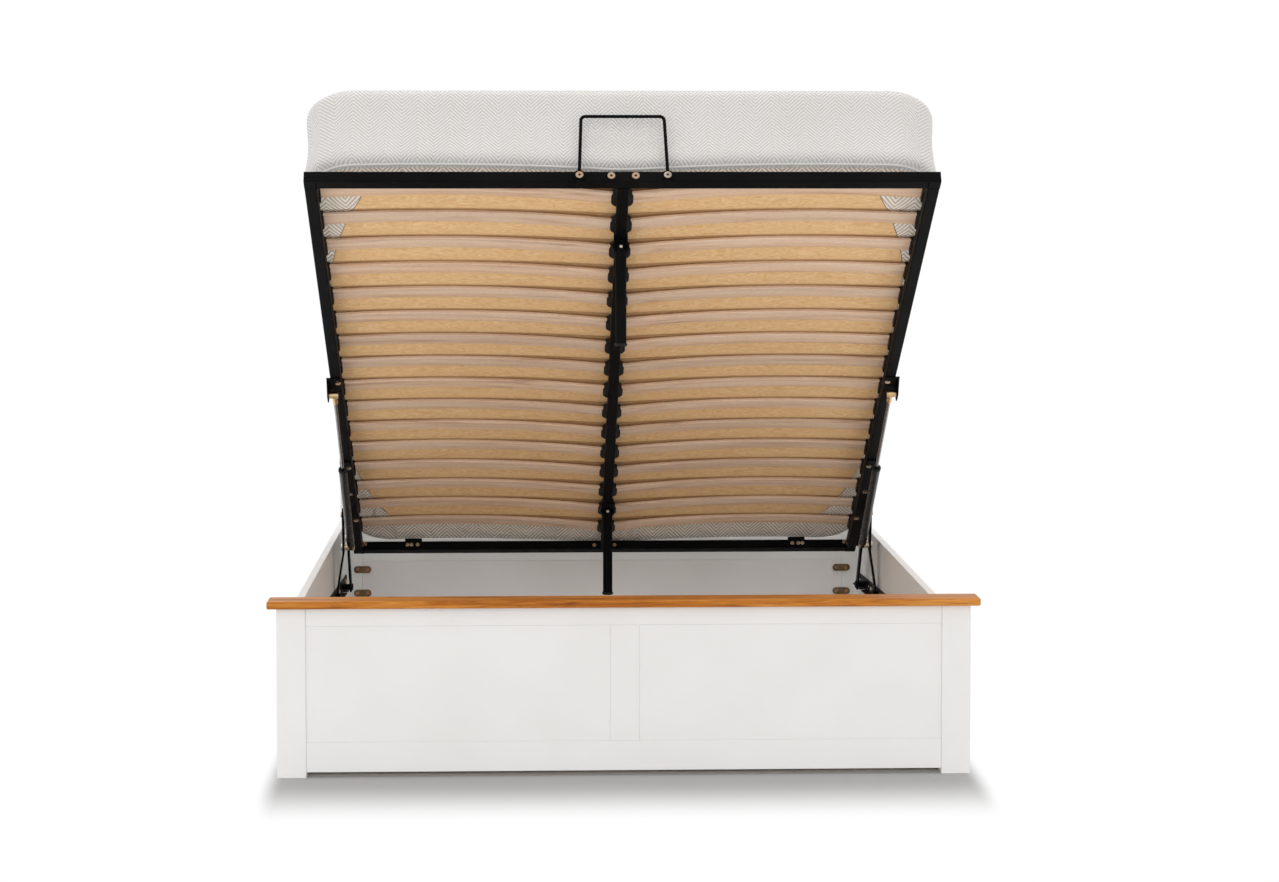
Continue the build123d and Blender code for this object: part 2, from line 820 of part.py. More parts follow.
# Small brackets that stand on the head tube
tube_bracket_width = 45.0
tube_bracket_low = 6.0
tube_bracket_high = 31.0
with BuildPart() as head_tube_brackets:
    with BuildSketch(across_deck(tube_size)):
        for x in (-tube_bracket_x, tube_bracket_x):
            with Locations((x, (tube_bracket_low + tube_bracket_high) / 2)):
                RectangleRounded(tube_bracket_width, tube_bracket_high - tube_bracket_low, tube_corner)
    extrude(amount=bracket_plate)
    with BuildSketch(across_deck(tube_size)):
        screw_circles(screw_radius)
        mirror(about=Plane.YZ)
    extrude(amount=bracket_plate, mode=Mode.SUBTRACT)
keep("head_tube_brackets", head_tube_brackets)

with BuildPart() as platform_bolts:
    for places, plate in ((hinge_bolt_places, hinge_plate), (bracket_bolt_places, bracket_plate)):
        with BuildSketch(deck.offset(-plate)):
            under_tube(places, tube_bolt_radius)
        extrude(amount=plate + tube_bolt_reach)
        with BuildSketch(deck.offset(-plate - tube_bolt_head)):
            for inwards, along in places:
                with Locations((inwards - half_platform, along)):
                    RegularPolygon(tube_bolt_head_radius, 6)
        extrude(amount=tube_bolt_head)
    for x, up, seat in head_screws:
        with BuildSketch(across_deck(tube_size - screw_reach)):
            with Locations((x, up)):
                Circle(screw_radius)
        extrude(amount=screw_reach + seat)
        with BuildSketch(across_deck(tube_size + seat)):
            with Locations((x, up)):
                Circle(screw_head_radius)
        extrude(amount=screw_head, taper=screw_head_taper)
    mirror(about=Plane.YZ)
keep("platform_bolts", platform_bolts)

# Slats, bowed up between caps that stand on the side tubes and holders on the centre rail
cap_foot = 10.8
holder_floor = 2.0
cap_roof = 2.5
cap_end_wall = 4.0
cap_lip = 3.0
cap_inset = 3.0
cap_side_wall = 3.0
cap_corner = 4.0
holder_lobe = 11.0
holder_length = 62.0
holder_corner = 21.0
holder_web = 3.0
slat_up_out = tube_size + cap_foot + fit_gap
slat_up_in = rail_height + holder_floor + fit_gap
slat_first = foot_tube_inside - slat_foot_margin - slat_width
slat_last = tube_size + slat_head_margin
slat_pitch = (slat_first - slat_last) / (slat_count - 1)
slat_starts = [slat_last + slat_pitch * place for place in range(slat_count)]
slat_centres = [start + slat_width / 2 for start in slat_starts]
cap_out = half_platform - cap_inset
cap_in = half_platform - tube_size - cap_lip
slat_out = cap_out - cap_end_wall
holder_out = tube_size / 2 + holder_lobe
pocket_height = slat_thickness + 2 * fit_gap
pocket_width = slat_width + 2 * fit_gap


def slat_edge(rise):
    """The line of a slat's face from its inner to its outer end, this far above its underside."""
    low, high = slat_up_in + rise, slat_up_out + rise
    middle = ((holder_out + cap_in) / 2, (low + high) / 2 + slat_bow)
    flat_in = Line((holder_web + fit_gap, low), (holder_out, low))
    bow = ThreePointArc((holder_out, low), middle, (cap_in, high))
    flat_out = Line((cap_in, high), (slat_out - fit_gap, high))
    return [flat_in, bow, flat_out]


def runs_across(edge):
    """Whether an edge of a slat runs along it."""
    return edge.bounding_box().size.X > fit_gap


with BuildPart() as right_slats:
    for start in slat_starts:
        with BuildSketch(across_deck(start)):
            with BuildLine():
                low_face = slat_edge(0)
                high_face = slat_edge(slat_thickness)
                add(low_face)
                add(high_face)
                Line(low_face[0] @ 0, high_face[0] @ 0)
                Line(low_face[-1] @ 1, high_face[-1] @ 1)
            make_face()
        extrude(amount=slat_width)
    chamfer(right_slats.edges().filter_by(runs_across), slat_chamfer)
keep("right_slats", right_slats)
keep("left_slats", mirrored(right_slats))

with BuildPart() as right_slat_caps:
    with BuildSketch(deck.offset(tube_size)):
        for centre in slat_centres:
            with Locations((-(cap_in + cap_out) / 2, centre)):
                Rectangle(cap_out - cap_in, slat_width + 2 * cap_side_wall)
        chamfer(vertices(), cap_corner)
    extrude(amount=cap_foot + pocket_height + cap_roof)
    with BuildSketch(deck.offset(tube_size + cap_foot)):
        for centre in slat_centres:
            with Locations((-(cap_in + slat_out) / 2, centre)):
                Rectangle(slat_out - cap_in, pocket_width)
    extrude(amount=pocket_height, mode=Mode.SUBTRACT)
keep("right_slat_caps", right_slat_caps)
keep("left_slat_caps", mirrored(right_slat_caps))

with BuildPart() as centre_slat_holders:
    with BuildSketch(deck.offset(rail_height)):
        for centre in slat_centres:
            with Locations((0, centre)):
                RectangleRounded(2 * holder_out, holder_length, holder_corner)
    extrude(amount=holder_floor + pocket_height + cap_roof)
    with BuildSketch(deck.offset(rail_height + holder_floor)):
        for centre in slat_centres:
            for side in (-1, 1):
                with Locations((side * (holder_web + holder_out) / 2, centre)):
                    Rectangle(holder_out - holder_web, pocket_width)
    extrude(amount=pocket_height, mode=Mode.SUBTRACT)
keep("centre_slat_holders", centre_slat_holders)

# Hinge angles: the web carries both arm hinges, the flange lies under the side tube
hinge_back = 45.0
hinge_front = 560.0
hinge_lobe = 18.0
hinge_lobe_slope = 36.0
flange_width = tube_size + hinge_plate
lobe_low = front_hinge_up - hinge_lobe
lobe_back = front_hinge_along - hinge_lobe
lobe_front = front_hinge_along + hinge_lobe
web_outline = (
    (-hinge_back, tube_size), (-hinge_back, -hinge_plate),
    (-(lobe_back - hinge_lobe_slope), -hinge_plate), (-lobe_back, lobe_low),
    (-lobe_front, lobe_low), (-(lobe_front + hinge_lobe_slope), -hinge_plate),
    (-hinge_front, -hinge_plate), (-hinge_front, tube_size),
)
with BuildPart() as right_hinge_angle:
    with BuildSketch(deck_side(half_platform)):
        with BuildLine():
            Polyline(*web_outline, close=True)
        make_face()
        fillet(vertices(), tube_corner)
    extrude(amount=hinge_plate)
    with BuildSketch(deck.offset(-hinge_plate)):
        with Locations((-(web_outside - flange_width / 2), (hinge_back + hinge_front) / 2)):
            Rectangle(flange_width, hinge_front - hinge_back)
    extrude(amount=hinge_plate)
    with BuildSketch(deck.offset(-hinge_plate)):
        under_tube(hinge_bolt_places, tube_bolt_radius)
    extrude(amount=hinge_plate, mode=Mode.SUBTRACT)
    with BuildSketch(side_view(half_platform)):
        with Locations(rear_hinge):
            Circle(pivot_radius)
    extrude(amount=hinge_plate, mode=Mode.SUBTRACT)
keep("right_hinge_angle", right_hinge_angle)
keep("left_hinge_angle", mirrored(right_hinge_angle))

with BuildPart() as rear_arm_pins:
    add(pin(
        rear_hinge, pivot_radius, half_platform, arm_outside + slide_gap,
        pin_head_radius, arm_outside + slide_gap, arm_outside + slide_gap + pin_head,
    ))
    add(washer(rear_hinge, web_outside, arm_inside - slide_gap))
    mirror(about=Plane.YZ)
keep("rear_arm_pins", rear_arm_pins)

# Strut brackets: a plate under the side tube with a lug beside the rod end
bracket_back = 20.0  # from the strut hinge towards the head end
bracket_front = 58.0
lug_low = 12.0  # below the strut hinge
lug_half = 14.0
bracket_in = half_platform - tube_size
with BuildPart() as strut_brackets:
    with BuildSketch(deck.offset(-bracket_plate)):
        with Locations((
            -(bracket_in + lug_inside + bracket_plate) / 2,
            strut_hinge_along + (bracket_front - bracket_back) / 2,
        )):
            Rectangle(lug_inside + bracket_plate - bracket_in, bracket_front + bracket_back)
    extrude(amount=bracket_plate)
    with BuildSketch(deck.offset(-bracket_plate)):
        under_tube(bracket_bolt_places, tube_bolt_radius)
    extrude(amount=bracket_plate, mode=Mode.SUBTRACT)
    with BuildSketch(deck_side(lug_inside)):
        with BuildLine():
            Polyline(
                (-(strut_hinge_along - bracket_back), 0),
                (-(strut_hinge_along - lug_half), strut_hinge_up - lug_low),
                (-(strut_hinge_along + lug_half), strut_hinge_up - lug_low),
                (-(strut_hinge_along + bracket_front), 0), close=True,
            )
        make_face()
    extrude(amount=bracket_plate)
    mirror(about=Plane.YZ)
keep("strut_brackets", strut_brackets)

# Centre legs, which hang from brackets under the centre rail
leg_size = 24.0
leg_wall = 1.5
leg_radius = leg_size / 2
leg_hinge_up = -14.0
head_leg_along = 294.0
foot_leg_along = 1646.0
leg_hinges = {"head_leg": head_leg_along, "foot_leg": foot_leg_along}
leg_pin_radius = 4.0
leg_pin_head = 2.5
leg_pin_head_radius = 6.0
cheek = 2.5
cheek_top = 14.0
cheek_low = 12.0
cheek_half = 14.0
leg_foot = 6.0
leg_foot_size = 28.0
leg_foot_chamfer = 1.5
leg_plug = 14.0
leg_length = closed_height + leg_hinge_up - storage_floor_top - slide_gap
cheek_inside = tube_size / 2
with BuildPart() as leg_brackets:
    for along in leg_hinges.values():
        with BuildSketch(deck_side(cheek_inside)):
            with BuildLine():
                Polyline(
                    (-along - cheek_half, cheek_top), (-along - cheek_half, 0),
                    (-along - cheek_half / 2, leg_hinge_up - cheek_low),
                    (-along + cheek_half / 2, leg_hinge_up - cheek_low),
                    (-along + cheek_half, 0), (-along + cheek_half, cheek_top), close=True,
                )
            make_face()
            with Locations((-along, leg_hinge_up)):
                Circle(leg_pin_radius, mode=Mode.SUBTRACT)
        extrude(amount=cheek)
    mirror(about=Plane.YZ)
keep("leg_brackets", leg_brackets)

pin_reach = cheek_inside + cheek
with BuildPart() as leg_pins:
    for along in leg_hinges.values():
        place = raised(along, leg_hinge_up)
        for side in (-1, 1):
            add(pin(
                place, leg_pin_radius, -pin_reach, pin_reach, leg_pin_head_radius,
                min(side * pin_reach, side * (pin_reach + leg_pin_head)),
                max(side * pin_reach, side * (pin_reach + leg_pin_head)),
            ))
keep("leg_pins", leg_pins)

for name, along in leg_hinges.items():
    hinge_y, hinge_z = raised(along, leg_hinge_up)
    foot_z = hinge_z - leg_length
    tube_end = foot_z + leg_foot
    bore = leg_radius - leg_wall
    with BuildPart() as leg:
        with BuildSketch(side_view(0)):
            with BuildLine():
                Polyline((hinge_y, hinge_z + leg_radius), (hinge_y, tube_end),
                         (hinge_y + leg_radius, tube_end), (hinge_y + leg_radius, hinge_z))
                CenterArc((hinge_y, hinge_z), leg_radius, 0, 90)
            make_face()
        revolve(axis=Axis((0, hinge_y, 0), (0, 0, 1)))
        with BuildSketch(Plane.XY.offset(tube_end)):
            with Locations((0, hinge_y)):
                Circle(bore)
        extrude(amount=leg_length - leg_foot, mode=Mode.SUBTRACT)
        with BuildSketch(side_view(-leg_size)):
            with Locations((hinge_y, hinge_z)):
                Circle(leg_pin_radius + running_gap)
        extrude(amount=2 * leg_size, mode=Mode.SUBTRACT)
    keep(name, leg)
    with BuildPart() as leg_cap:
        with BuildSketch(Plane.XY.offset(foot_z)):
            with Locations((0, hinge_y)):
                Circle(leg_foot_size / 2)
        extrude(amount=leg_foot)
        chamfer(leg_cap.faces().sort_by(Axis.Z)[0].edges(), leg_foot_chamfer)
        with BuildSketch(Plane.XY.offset(tube_end)):
            with Locations((0, hinge_y)):
                Circle(bore - fit_gap)
        extrude(amount=leg_plug)
    keep(f"{name}_cap", leg_cap)

# Mattress: drawn in round its edges and at half height, crowned on both faces
mattress_corner = 50.0
mattress_crown = 5.0
mattress_edge = 20.0
mattress_shift = 8.0  # towards the head end
corner_share = 0.5  # how much of the inset the corners lose
slat_rise = slat_up_out - slat_up_in
crest_share = 1 / 2 + slat_rise / (8 * slat_bow)  # where the bowed slats are highest, from the rail
slat_crest = slat_up_in + slat_rise * crest_share + 4 * slat_bow * crest_share * (1 - crest_share)
mattress_up = slat_crest + slat_thickness + 2 * soft_gap
mattress_foot = platform_length - mattress_shift
mattress_centre = mattress_foot - mattress_length / 2
side_inset_shares = (1.0, 0.35, 0.05, 0.0, 0.0, 0.05, 0.35, 1.0)  # of the drawn-in edge
side_height_shares = (0.0, 0.04, 0.12, 0.2, 0.8, 0.88, 0.96, 1.0)  # of the thickness
side_height = mattress_thickness - mattress_crown
with BuildPart() as mattress:
    for inset, rise in zip(side_inset_shares, side_height_shares):
        with BuildSketch(deck.offset(mattress_up + side_height * rise)):
            with Locations((0, mattress_centre)):
                RectangleRounded(
                    mattress_width - 2 * mattress_edge * inset,
                    mattress_length - 2 * mattress_edge * inset,
                    mattress_corner - mattress_edge * inset * corner_share,
                )
    loft(ruled=True)
keep("mattress", mattress)
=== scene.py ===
import json
import math
import bpy
import numpy as np
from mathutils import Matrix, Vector


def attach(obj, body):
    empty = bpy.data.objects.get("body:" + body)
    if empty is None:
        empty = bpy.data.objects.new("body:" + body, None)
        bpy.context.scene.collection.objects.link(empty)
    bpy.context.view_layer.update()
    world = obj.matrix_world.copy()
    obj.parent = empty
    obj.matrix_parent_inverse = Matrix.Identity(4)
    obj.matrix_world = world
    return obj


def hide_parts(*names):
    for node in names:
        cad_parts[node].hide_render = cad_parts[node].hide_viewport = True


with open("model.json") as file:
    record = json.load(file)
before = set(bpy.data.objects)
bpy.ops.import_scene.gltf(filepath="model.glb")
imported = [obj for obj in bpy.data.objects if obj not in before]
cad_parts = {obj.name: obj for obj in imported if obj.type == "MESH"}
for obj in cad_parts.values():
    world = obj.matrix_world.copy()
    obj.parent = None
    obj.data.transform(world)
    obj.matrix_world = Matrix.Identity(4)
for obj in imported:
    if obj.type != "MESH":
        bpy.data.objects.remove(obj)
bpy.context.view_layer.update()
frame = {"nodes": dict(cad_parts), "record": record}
nodes = frame["nodes"]
joints = {joint["name"]: joint for joint in frame["record"]["behaviour"]["joints"]}

# The raised platform's own directions: across the bed, along from its head end, up through the mattress;
# headY and headZ are the place of its head end
deck = {"tilt": math.radians(31.5), "headY": 0.673, "headZ": 0.245}
deckCos, deckSin = math.cos(deck["tilt"]), math.sin(deck["tilt"])
footward = (0, -deckCos, deckSin)

# Bowed slats: start of the first one along the platform, pitch and width; their inner and outer ends
# across the bed, how much higher the outer end is, the bow, its highest point above the inner end,
# the underside's height at the inner end, and the thickness of a ply
slats = {"first": 0.092, "pitch": 0.1114, "wide": 0.04, "count": 16, "inner": 0.0235, "outer": 0.637,
         "rise": 0.0138, "bow": 0.014, "crest": 0.02175, "low": 0.02225, "ply": 0.00115}


def deckPlace(across, along, up):
    # place in the bed's frame = head end + along * (towards the foot, rising) + up * (through the mattress)
    across, along, up = np.broadcast_arrays(np.asarray(across, float), along, up)
    y = deck["headY"] - along * deckCos + up * deckSin
    z = deck["headZ"] + along * deckSin + up * deckCos
    return np.stack([across, y, z], axis=-1)


def deckSpan(name):
    # lowest and highest (across, along, up) of a CAD node, in the raised platform's own directions
    mesh = nodes[name].data
    place = np.empty(len(mesh.vertices) * 3)
    mesh.vertices.foreach_get("co", place)
    place = place.reshape(-1, 3)
    y, z = place[:, 1] - deck["headY"], place[:, 2] - deck["headZ"]
    own = np.stack([place[:, 0], z * deckSin - y * deckCos, y * deckSin + z * deckCos], -1)
    return own.min(0), own.max(0)


# Short forms for shader nodes: each one adds its nodes to the tree and gives the output that matters
def newMaterial(name, colour, roughness, metallic=0.0, **sockets):
    material = bpy.data.materials.new(name)
    material.use_nodes = True
    tree = material.node_tree
    shader = next(n for n in tree.nodes if n.type == "BSDF_PRINCIPLED")
    shader.inputs["Base Color"].default_value = (*colour, 1)
    shader.inputs["Roughness"].default_value = roughness
    shader.inputs["Metallic"].default_value = metallic
    for socket, value in sockets.items():
        shader.inputs[socket.replace("_", " ")].default_value = value
    return material, tree, shader


def placeOf(tree, stretch=(1, 1, 1), turn=(0, 0, 0), shift=(0, 0, 0), source="Object"):
    mapping = tree.nodes.new("ShaderNodeMapping")
    mapping.inputs["Scale"].default_value = stretch
    mapping.inputs["Rotation"].default_value = turn
    mapping.inputs["Location"].default_value = shift
    coordinate = tree.nodes.new("ShaderNodeTexCoord")
    tree.links.new(coordinate.outputs[source], mapping.inputs["Vector"])
    return mapping.outputs["Vector"]


def axesOf(tree, place):
    parts = tree.nodes.new("ShaderNodeSeparateXYZ")
    tree.links.new(place, parts.inputs[0])
    return parts.outputs[0], parts.outputs[1], parts.outputs[2]


def dotOf(tree, vector, direction):
    step = tree.nodes.new("ShaderNodeVectorMath")
    step.operation = "DOT_PRODUCT"
    tree.links.new(vector, step.inputs[0])
    step.inputs[1].default_value = direction
    return step.outputs["Value"]


def noiseOf(tree, place, scale, detail=3.0, rough=0.5, warp=0.0):
    noise = tree.nodes.new("ShaderNodeTexNoise")
    for socket, value in (("Scale", scale), ("Detail", detail), ("Roughness", rough), ("Distortion", warp)):
        noise.inputs[socket].default_value = value
    tree.links.new(place, noise.inputs["Vector"])
    return noise.outputs["Fac"]


def rampOf(tree, value, *stops):
    ramp = tree.nodes.new("ShaderNodeValToRGB")
    elements = ramp.color_ramp.elements
    while len(elements) < len(stops):
        elements.new(0.5)
    for element, (position, colour) in zip(elements, stops):
        element.position = position
        element.color = (*colour, 1)
    tree.links.new(value, ramp.inputs["Fac"])
    return ramp.outputs["Color"]


def tonesOf(tree, cloud, low, high):
    # two tones of a finish, mixed by a noise
    return rampOf(tree, cloud, (0.3, low), (0.7, high))


def mathOf(tree, operation, *values):
    step = tree.nodes.new("ShaderNodeMath")
    step.operation = operation
    for socket, value in zip(step.inputs, values):
        if isinstance(value, (int, float)):
            socket.default_value = value
        else:
            tree.links.new(value, socket)
    return step.outputs[0]


def mixOf(tree, share, a, b, blend="MIX"):
    mix = tree.nodes.new("ShaderNodeMix")
    mix.data_type = "RGBA"
    mix.blend_type = blend
    for socket, value in ((mix.inputs[0], share), (mix.inputs[6], a), (mix.inputs[7], b)):
        if isinstance(value, (int, float)):
            socket.default_value = value
        elif isinstance(value, tuple):
            socket.default_value = (*value, 1)
        else:
            tree.links.new(value, socket)
    return mix.outputs[2]


def rangeOf(tree, value, given, wanted):
    # one range of values carried to another, and held past its ends
    step = tree.nodes.new("ShaderNodeMapRange")
    for socket, number in zip(("From Min", "From Max", "To Min", "To Max"), (*given, *wanted)):
        step.inputs[socket].default_value = number
    tree.links.new(value, step.inputs["Value"])
    return step.outputs[0]


def bumpOf(tree, shader, height, strength, distance, under=None):
    bump = tree.nodes.new("ShaderNodeBump")
    bump.inputs["Strength"].default_value = strength
    bump.inputs["Distance"].default_value = distance
    tree.links.new(height, bump.inputs["Height"])
    if under is not None:
        tree.links.new(under, bump.inputs["Normal"])
    tree.links.new(bump.outputs[0], shader.inputs["Normal"])
    return bump.outputs[0]


def ribsOf(tree, u, v, ribs):
    # 0 to 1 across ribs that zigzag: sine of (v + slope * triangle wave of u)
    zigzag = mathOf(tree, "PINGPONG", u, ribs["fold"])
    moved = mathOf(tree, "MULTIPLY_ADD", zigzag, ribs["slope"], v)
    wave = mathOf(tree, "SINE", mathOf(tree, "MULTIPLY", moved, 2 * math.pi / ribs["pitch"]))
    return mathOf(tree, "MULTIPLY_ADD", wave, 0.5, 0.5)


def seenPlainly(tree):
    # 1 where the camera sees a surface itself or in a mirror, 0 where the surface only lights others
    path = tree.nodes.new("ShaderNodeLightPath")
    seen = path.outputs["Is Camera Ray"]
    for ray in ("Is Glossy Ray", "Is Transmission Ray"):
        seen = mathOf(tree, "MAXIMUM", seen, path.outputs[ray])
    return seen


# The photograph's camera, fitted to measured edges of the bed; yaw and pitch are in degrees
photo = {"lens": 81.97, "sensor": 36, "place": (-0.1856, -7.009, 1.2482), "yaw": 2.062, "pitch": 3.076,
         "shift": -0.0864, "reach": 200}


def setCamera():
    cameraData = bpy.data.cameras.new("photoCamera")
    cameraData.sensor_width = photo["sensor"]
    cameraData.sensor_fit = "HORIZONTAL"
    cameraData.lens = photo["lens"]
    cameraData.shift_y = photo["shift"]
    cameraData.clip_end = photo["reach"]
    camera = bpy.data.objects.new("photoCamera", cameraData)
    camera.location = photo["place"]
    camera.rotation_euler = (math.radians(90 - photo["pitch"]), 0, -math.radians(photo["yaw"]))
    bpy.context.scene.collection.objects.link(camera)
    bpy.context.scene.camera = camera


lamps = [  # name, place, aim, size, watts
    ("frontLeft", (-3.2, -6.2, 2.2), (0, -0.6, 0.6), (3.4, 2.4), 27),
    ("frontRight", (3.4, -5.8, 1.8), (0, -0.4, 0.6), (2.8, 2.2), 8),
    ("overhead", (0.0, 1.1, 4.5), (0, 0.3, 0.2), (3.4, 2.8), 68),
]


def setLamps():
    for name, place, aim, size, watts in lamps:
        lampData = bpy.data.lights.new(name, "AREA")
        lampData.shape = "RECTANGLE"
        lampData.size, lampData.size_y = size
        lampData.energy = watts
        lamp = bpy.data.objects.new(name, lampData)
        lamp.location = place
        lamp.rotation_euler = (Vector(aim) - Vector(place)).to_track_quat("-Z", "Y").to_euler()
        bpy.context.scene.collection.objects.link(lamp)


backdrops = {"shown": ((1, 1, 1), 1.0), "lit": ((1, 0.99, 0.98), 0.97)}  # colour and strength


def setWorld():
    # a white backdrop where it is seen, and a slightly warm, softer light on everything
    world = bpy.data.worlds.new("studio")
    bpy.context.scene.world = world
    world.use_nodes = True
    tree = world.node_tree
    tree.nodes.clear()
    output = tree.nodes.new("ShaderNodeOutputWorld")
    mixed = tree.nodes.new("ShaderNodeMixShader")
    tree.links.new(seenPlainly(tree), mixed.inputs["Fac"])
    for name, socket in (("lit", mixed.inputs[1]), ("shown", mixed.inputs[2])):
        colour, strength = backdrops[name]
        background = tree.nodes.new("ShaderNodeBackground")
        background.inputs["Color"].default_value = (*colour, 1)
        background.inputs["Strength"].default_value = strength
        tree.links.new(background.outputs[0], socket)
    tree.links.new(mixed.outputs[0], output.inputs[0])


finishes = {}


def paintedTimber():
    # white paint: soft clouds of tone, and brush marks along the boards in its gloss and relief
    material, tree, shader = newMaterial("paintedTimber", (0.82, 0.815, 0.80), 0.42)
    cloud = noiseOf(tree, placeOf(tree), scale=5.0)
    brush = noiseOf(tree, placeOf(tree, stretch=(2, 60, 60)), scale=6.0, detail=4.0, rough=0.6)
    colour = tonesOf(tree, cloud, (0.80, 0.795, 0.782), (0.835, 0.83, 0.82))
    tree.links.new(colour, shader.inputs["Base Color"])
    tree.links.new(rangeOf(tree, brush, (0.3, 0.7), (0.36, 0.5)), shader.inputs["Roughness"])
    bumpOf(tree, shader, brush, strength=0.12, distance=0.0006)
    return material


def oakLacquer():
    # rings drawn out along the cap and warped, with fine dark pores
    material, tree, shader = newMaterial("oakLacquer", (0.5, 0.24, 0.07), 0.45, Coat_Weight=0.05,
                                         Coat_Roughness=0.35, Specular_IOR_Level=0.2)
    rings = noiseOf(tree, placeOf(tree, stretch=(0.9, 16, 16)), scale=3.2, detail=5.0, rough=0.62, warp=1.2)
    pores = noiseOf(tree, placeOf(tree, stretch=(6, 260, 260)), scale=3.0, rough=0.7)
    colour = rampOf(tree, rings, (0.25, (0.18, 0.042, 0.003)), (0.4, (0.40, 0.118, 0.008)),
                    (0.53, (0.56, 0.20, 0.022)), (0.72, (0.70, 0.30, 0.06)))
    dark = rampOf(tree, pores, (0.36, (0.45, 0.4, 0.36)), (0.5, (1, 1, 1)))
    tree.links.new(mixOf(tree, 0.75, colour, dark, "MULTIPLY"), shader.inputs["Base Color"])
    bumpOf(tree, shader, pores, strength=0.25, distance=0.0005)
    return material


def liningBoard():
    # pale lining of the store: soft clouds and a fine grit
    material, tree, shader = newMaterial("liningBoard", (0.79, 0.765, 0.75), 0.55)
    cloud = noiseOf(tree, placeOf(tree), scale=3.0, detail=4.0)
    grit = noiseOf(tree, placeOf(tree), scale=900.0, detail=2.0)
    colour = tonesOf(tree, cloud, (0.76, 0.73, 0.715), (0.82, 0.80, 0.785))
    tree.links.new(colour, shader.inputs["Base Color"])
    bumpOf(tree, shader, grit, strength=0.15, distance=0.0003)
    return material


def planedPine():
    # bare pine of the bearers, with its rings along them
    material, tree, shader = newMaterial("planedPine", (0.66, 0.47, 0.27), 0.6)
    rings = noiseOf(tree, placeOf(tree, stretch=(1.2, 22, 22)), scale=3.0, detail=4.0, rough=0.55, warp=1.0)
    colour = rampOf(tree, rings, (0.3, (0.5, 0.31, 0.15)), (0.5, (0.68, 0.48, 0.27)),
                    (0.75, (0.76, 0.58, 0.36)))
    tree.links.new(colour, shader.inputs["Base Color"])
    bumpOf(tree, shader, rings, strength=0.2, distance=0.0008)
    return material


# The slats' wood: where in a pitch each slat's own tone changes, how far the grain moves from slat to slat,
# the colour of the glue between the plies, its share of a ply and how strongly it shows, and the tint of the
# painted warm light bounced from the cloth onto the head side, with its strength and the share of the slat's
# width that it covers
beech = {"change": 0.37, "moves": (7, 3, 3), "glue": (0.30, 0.17, 0.10), "glueShare": 0.2, "glueShows": 0.55,
         "bounceTint": (0.93, 0.82, 0.66), "bounceTintShows": 0.75, "bounceTintShare": 0.6}


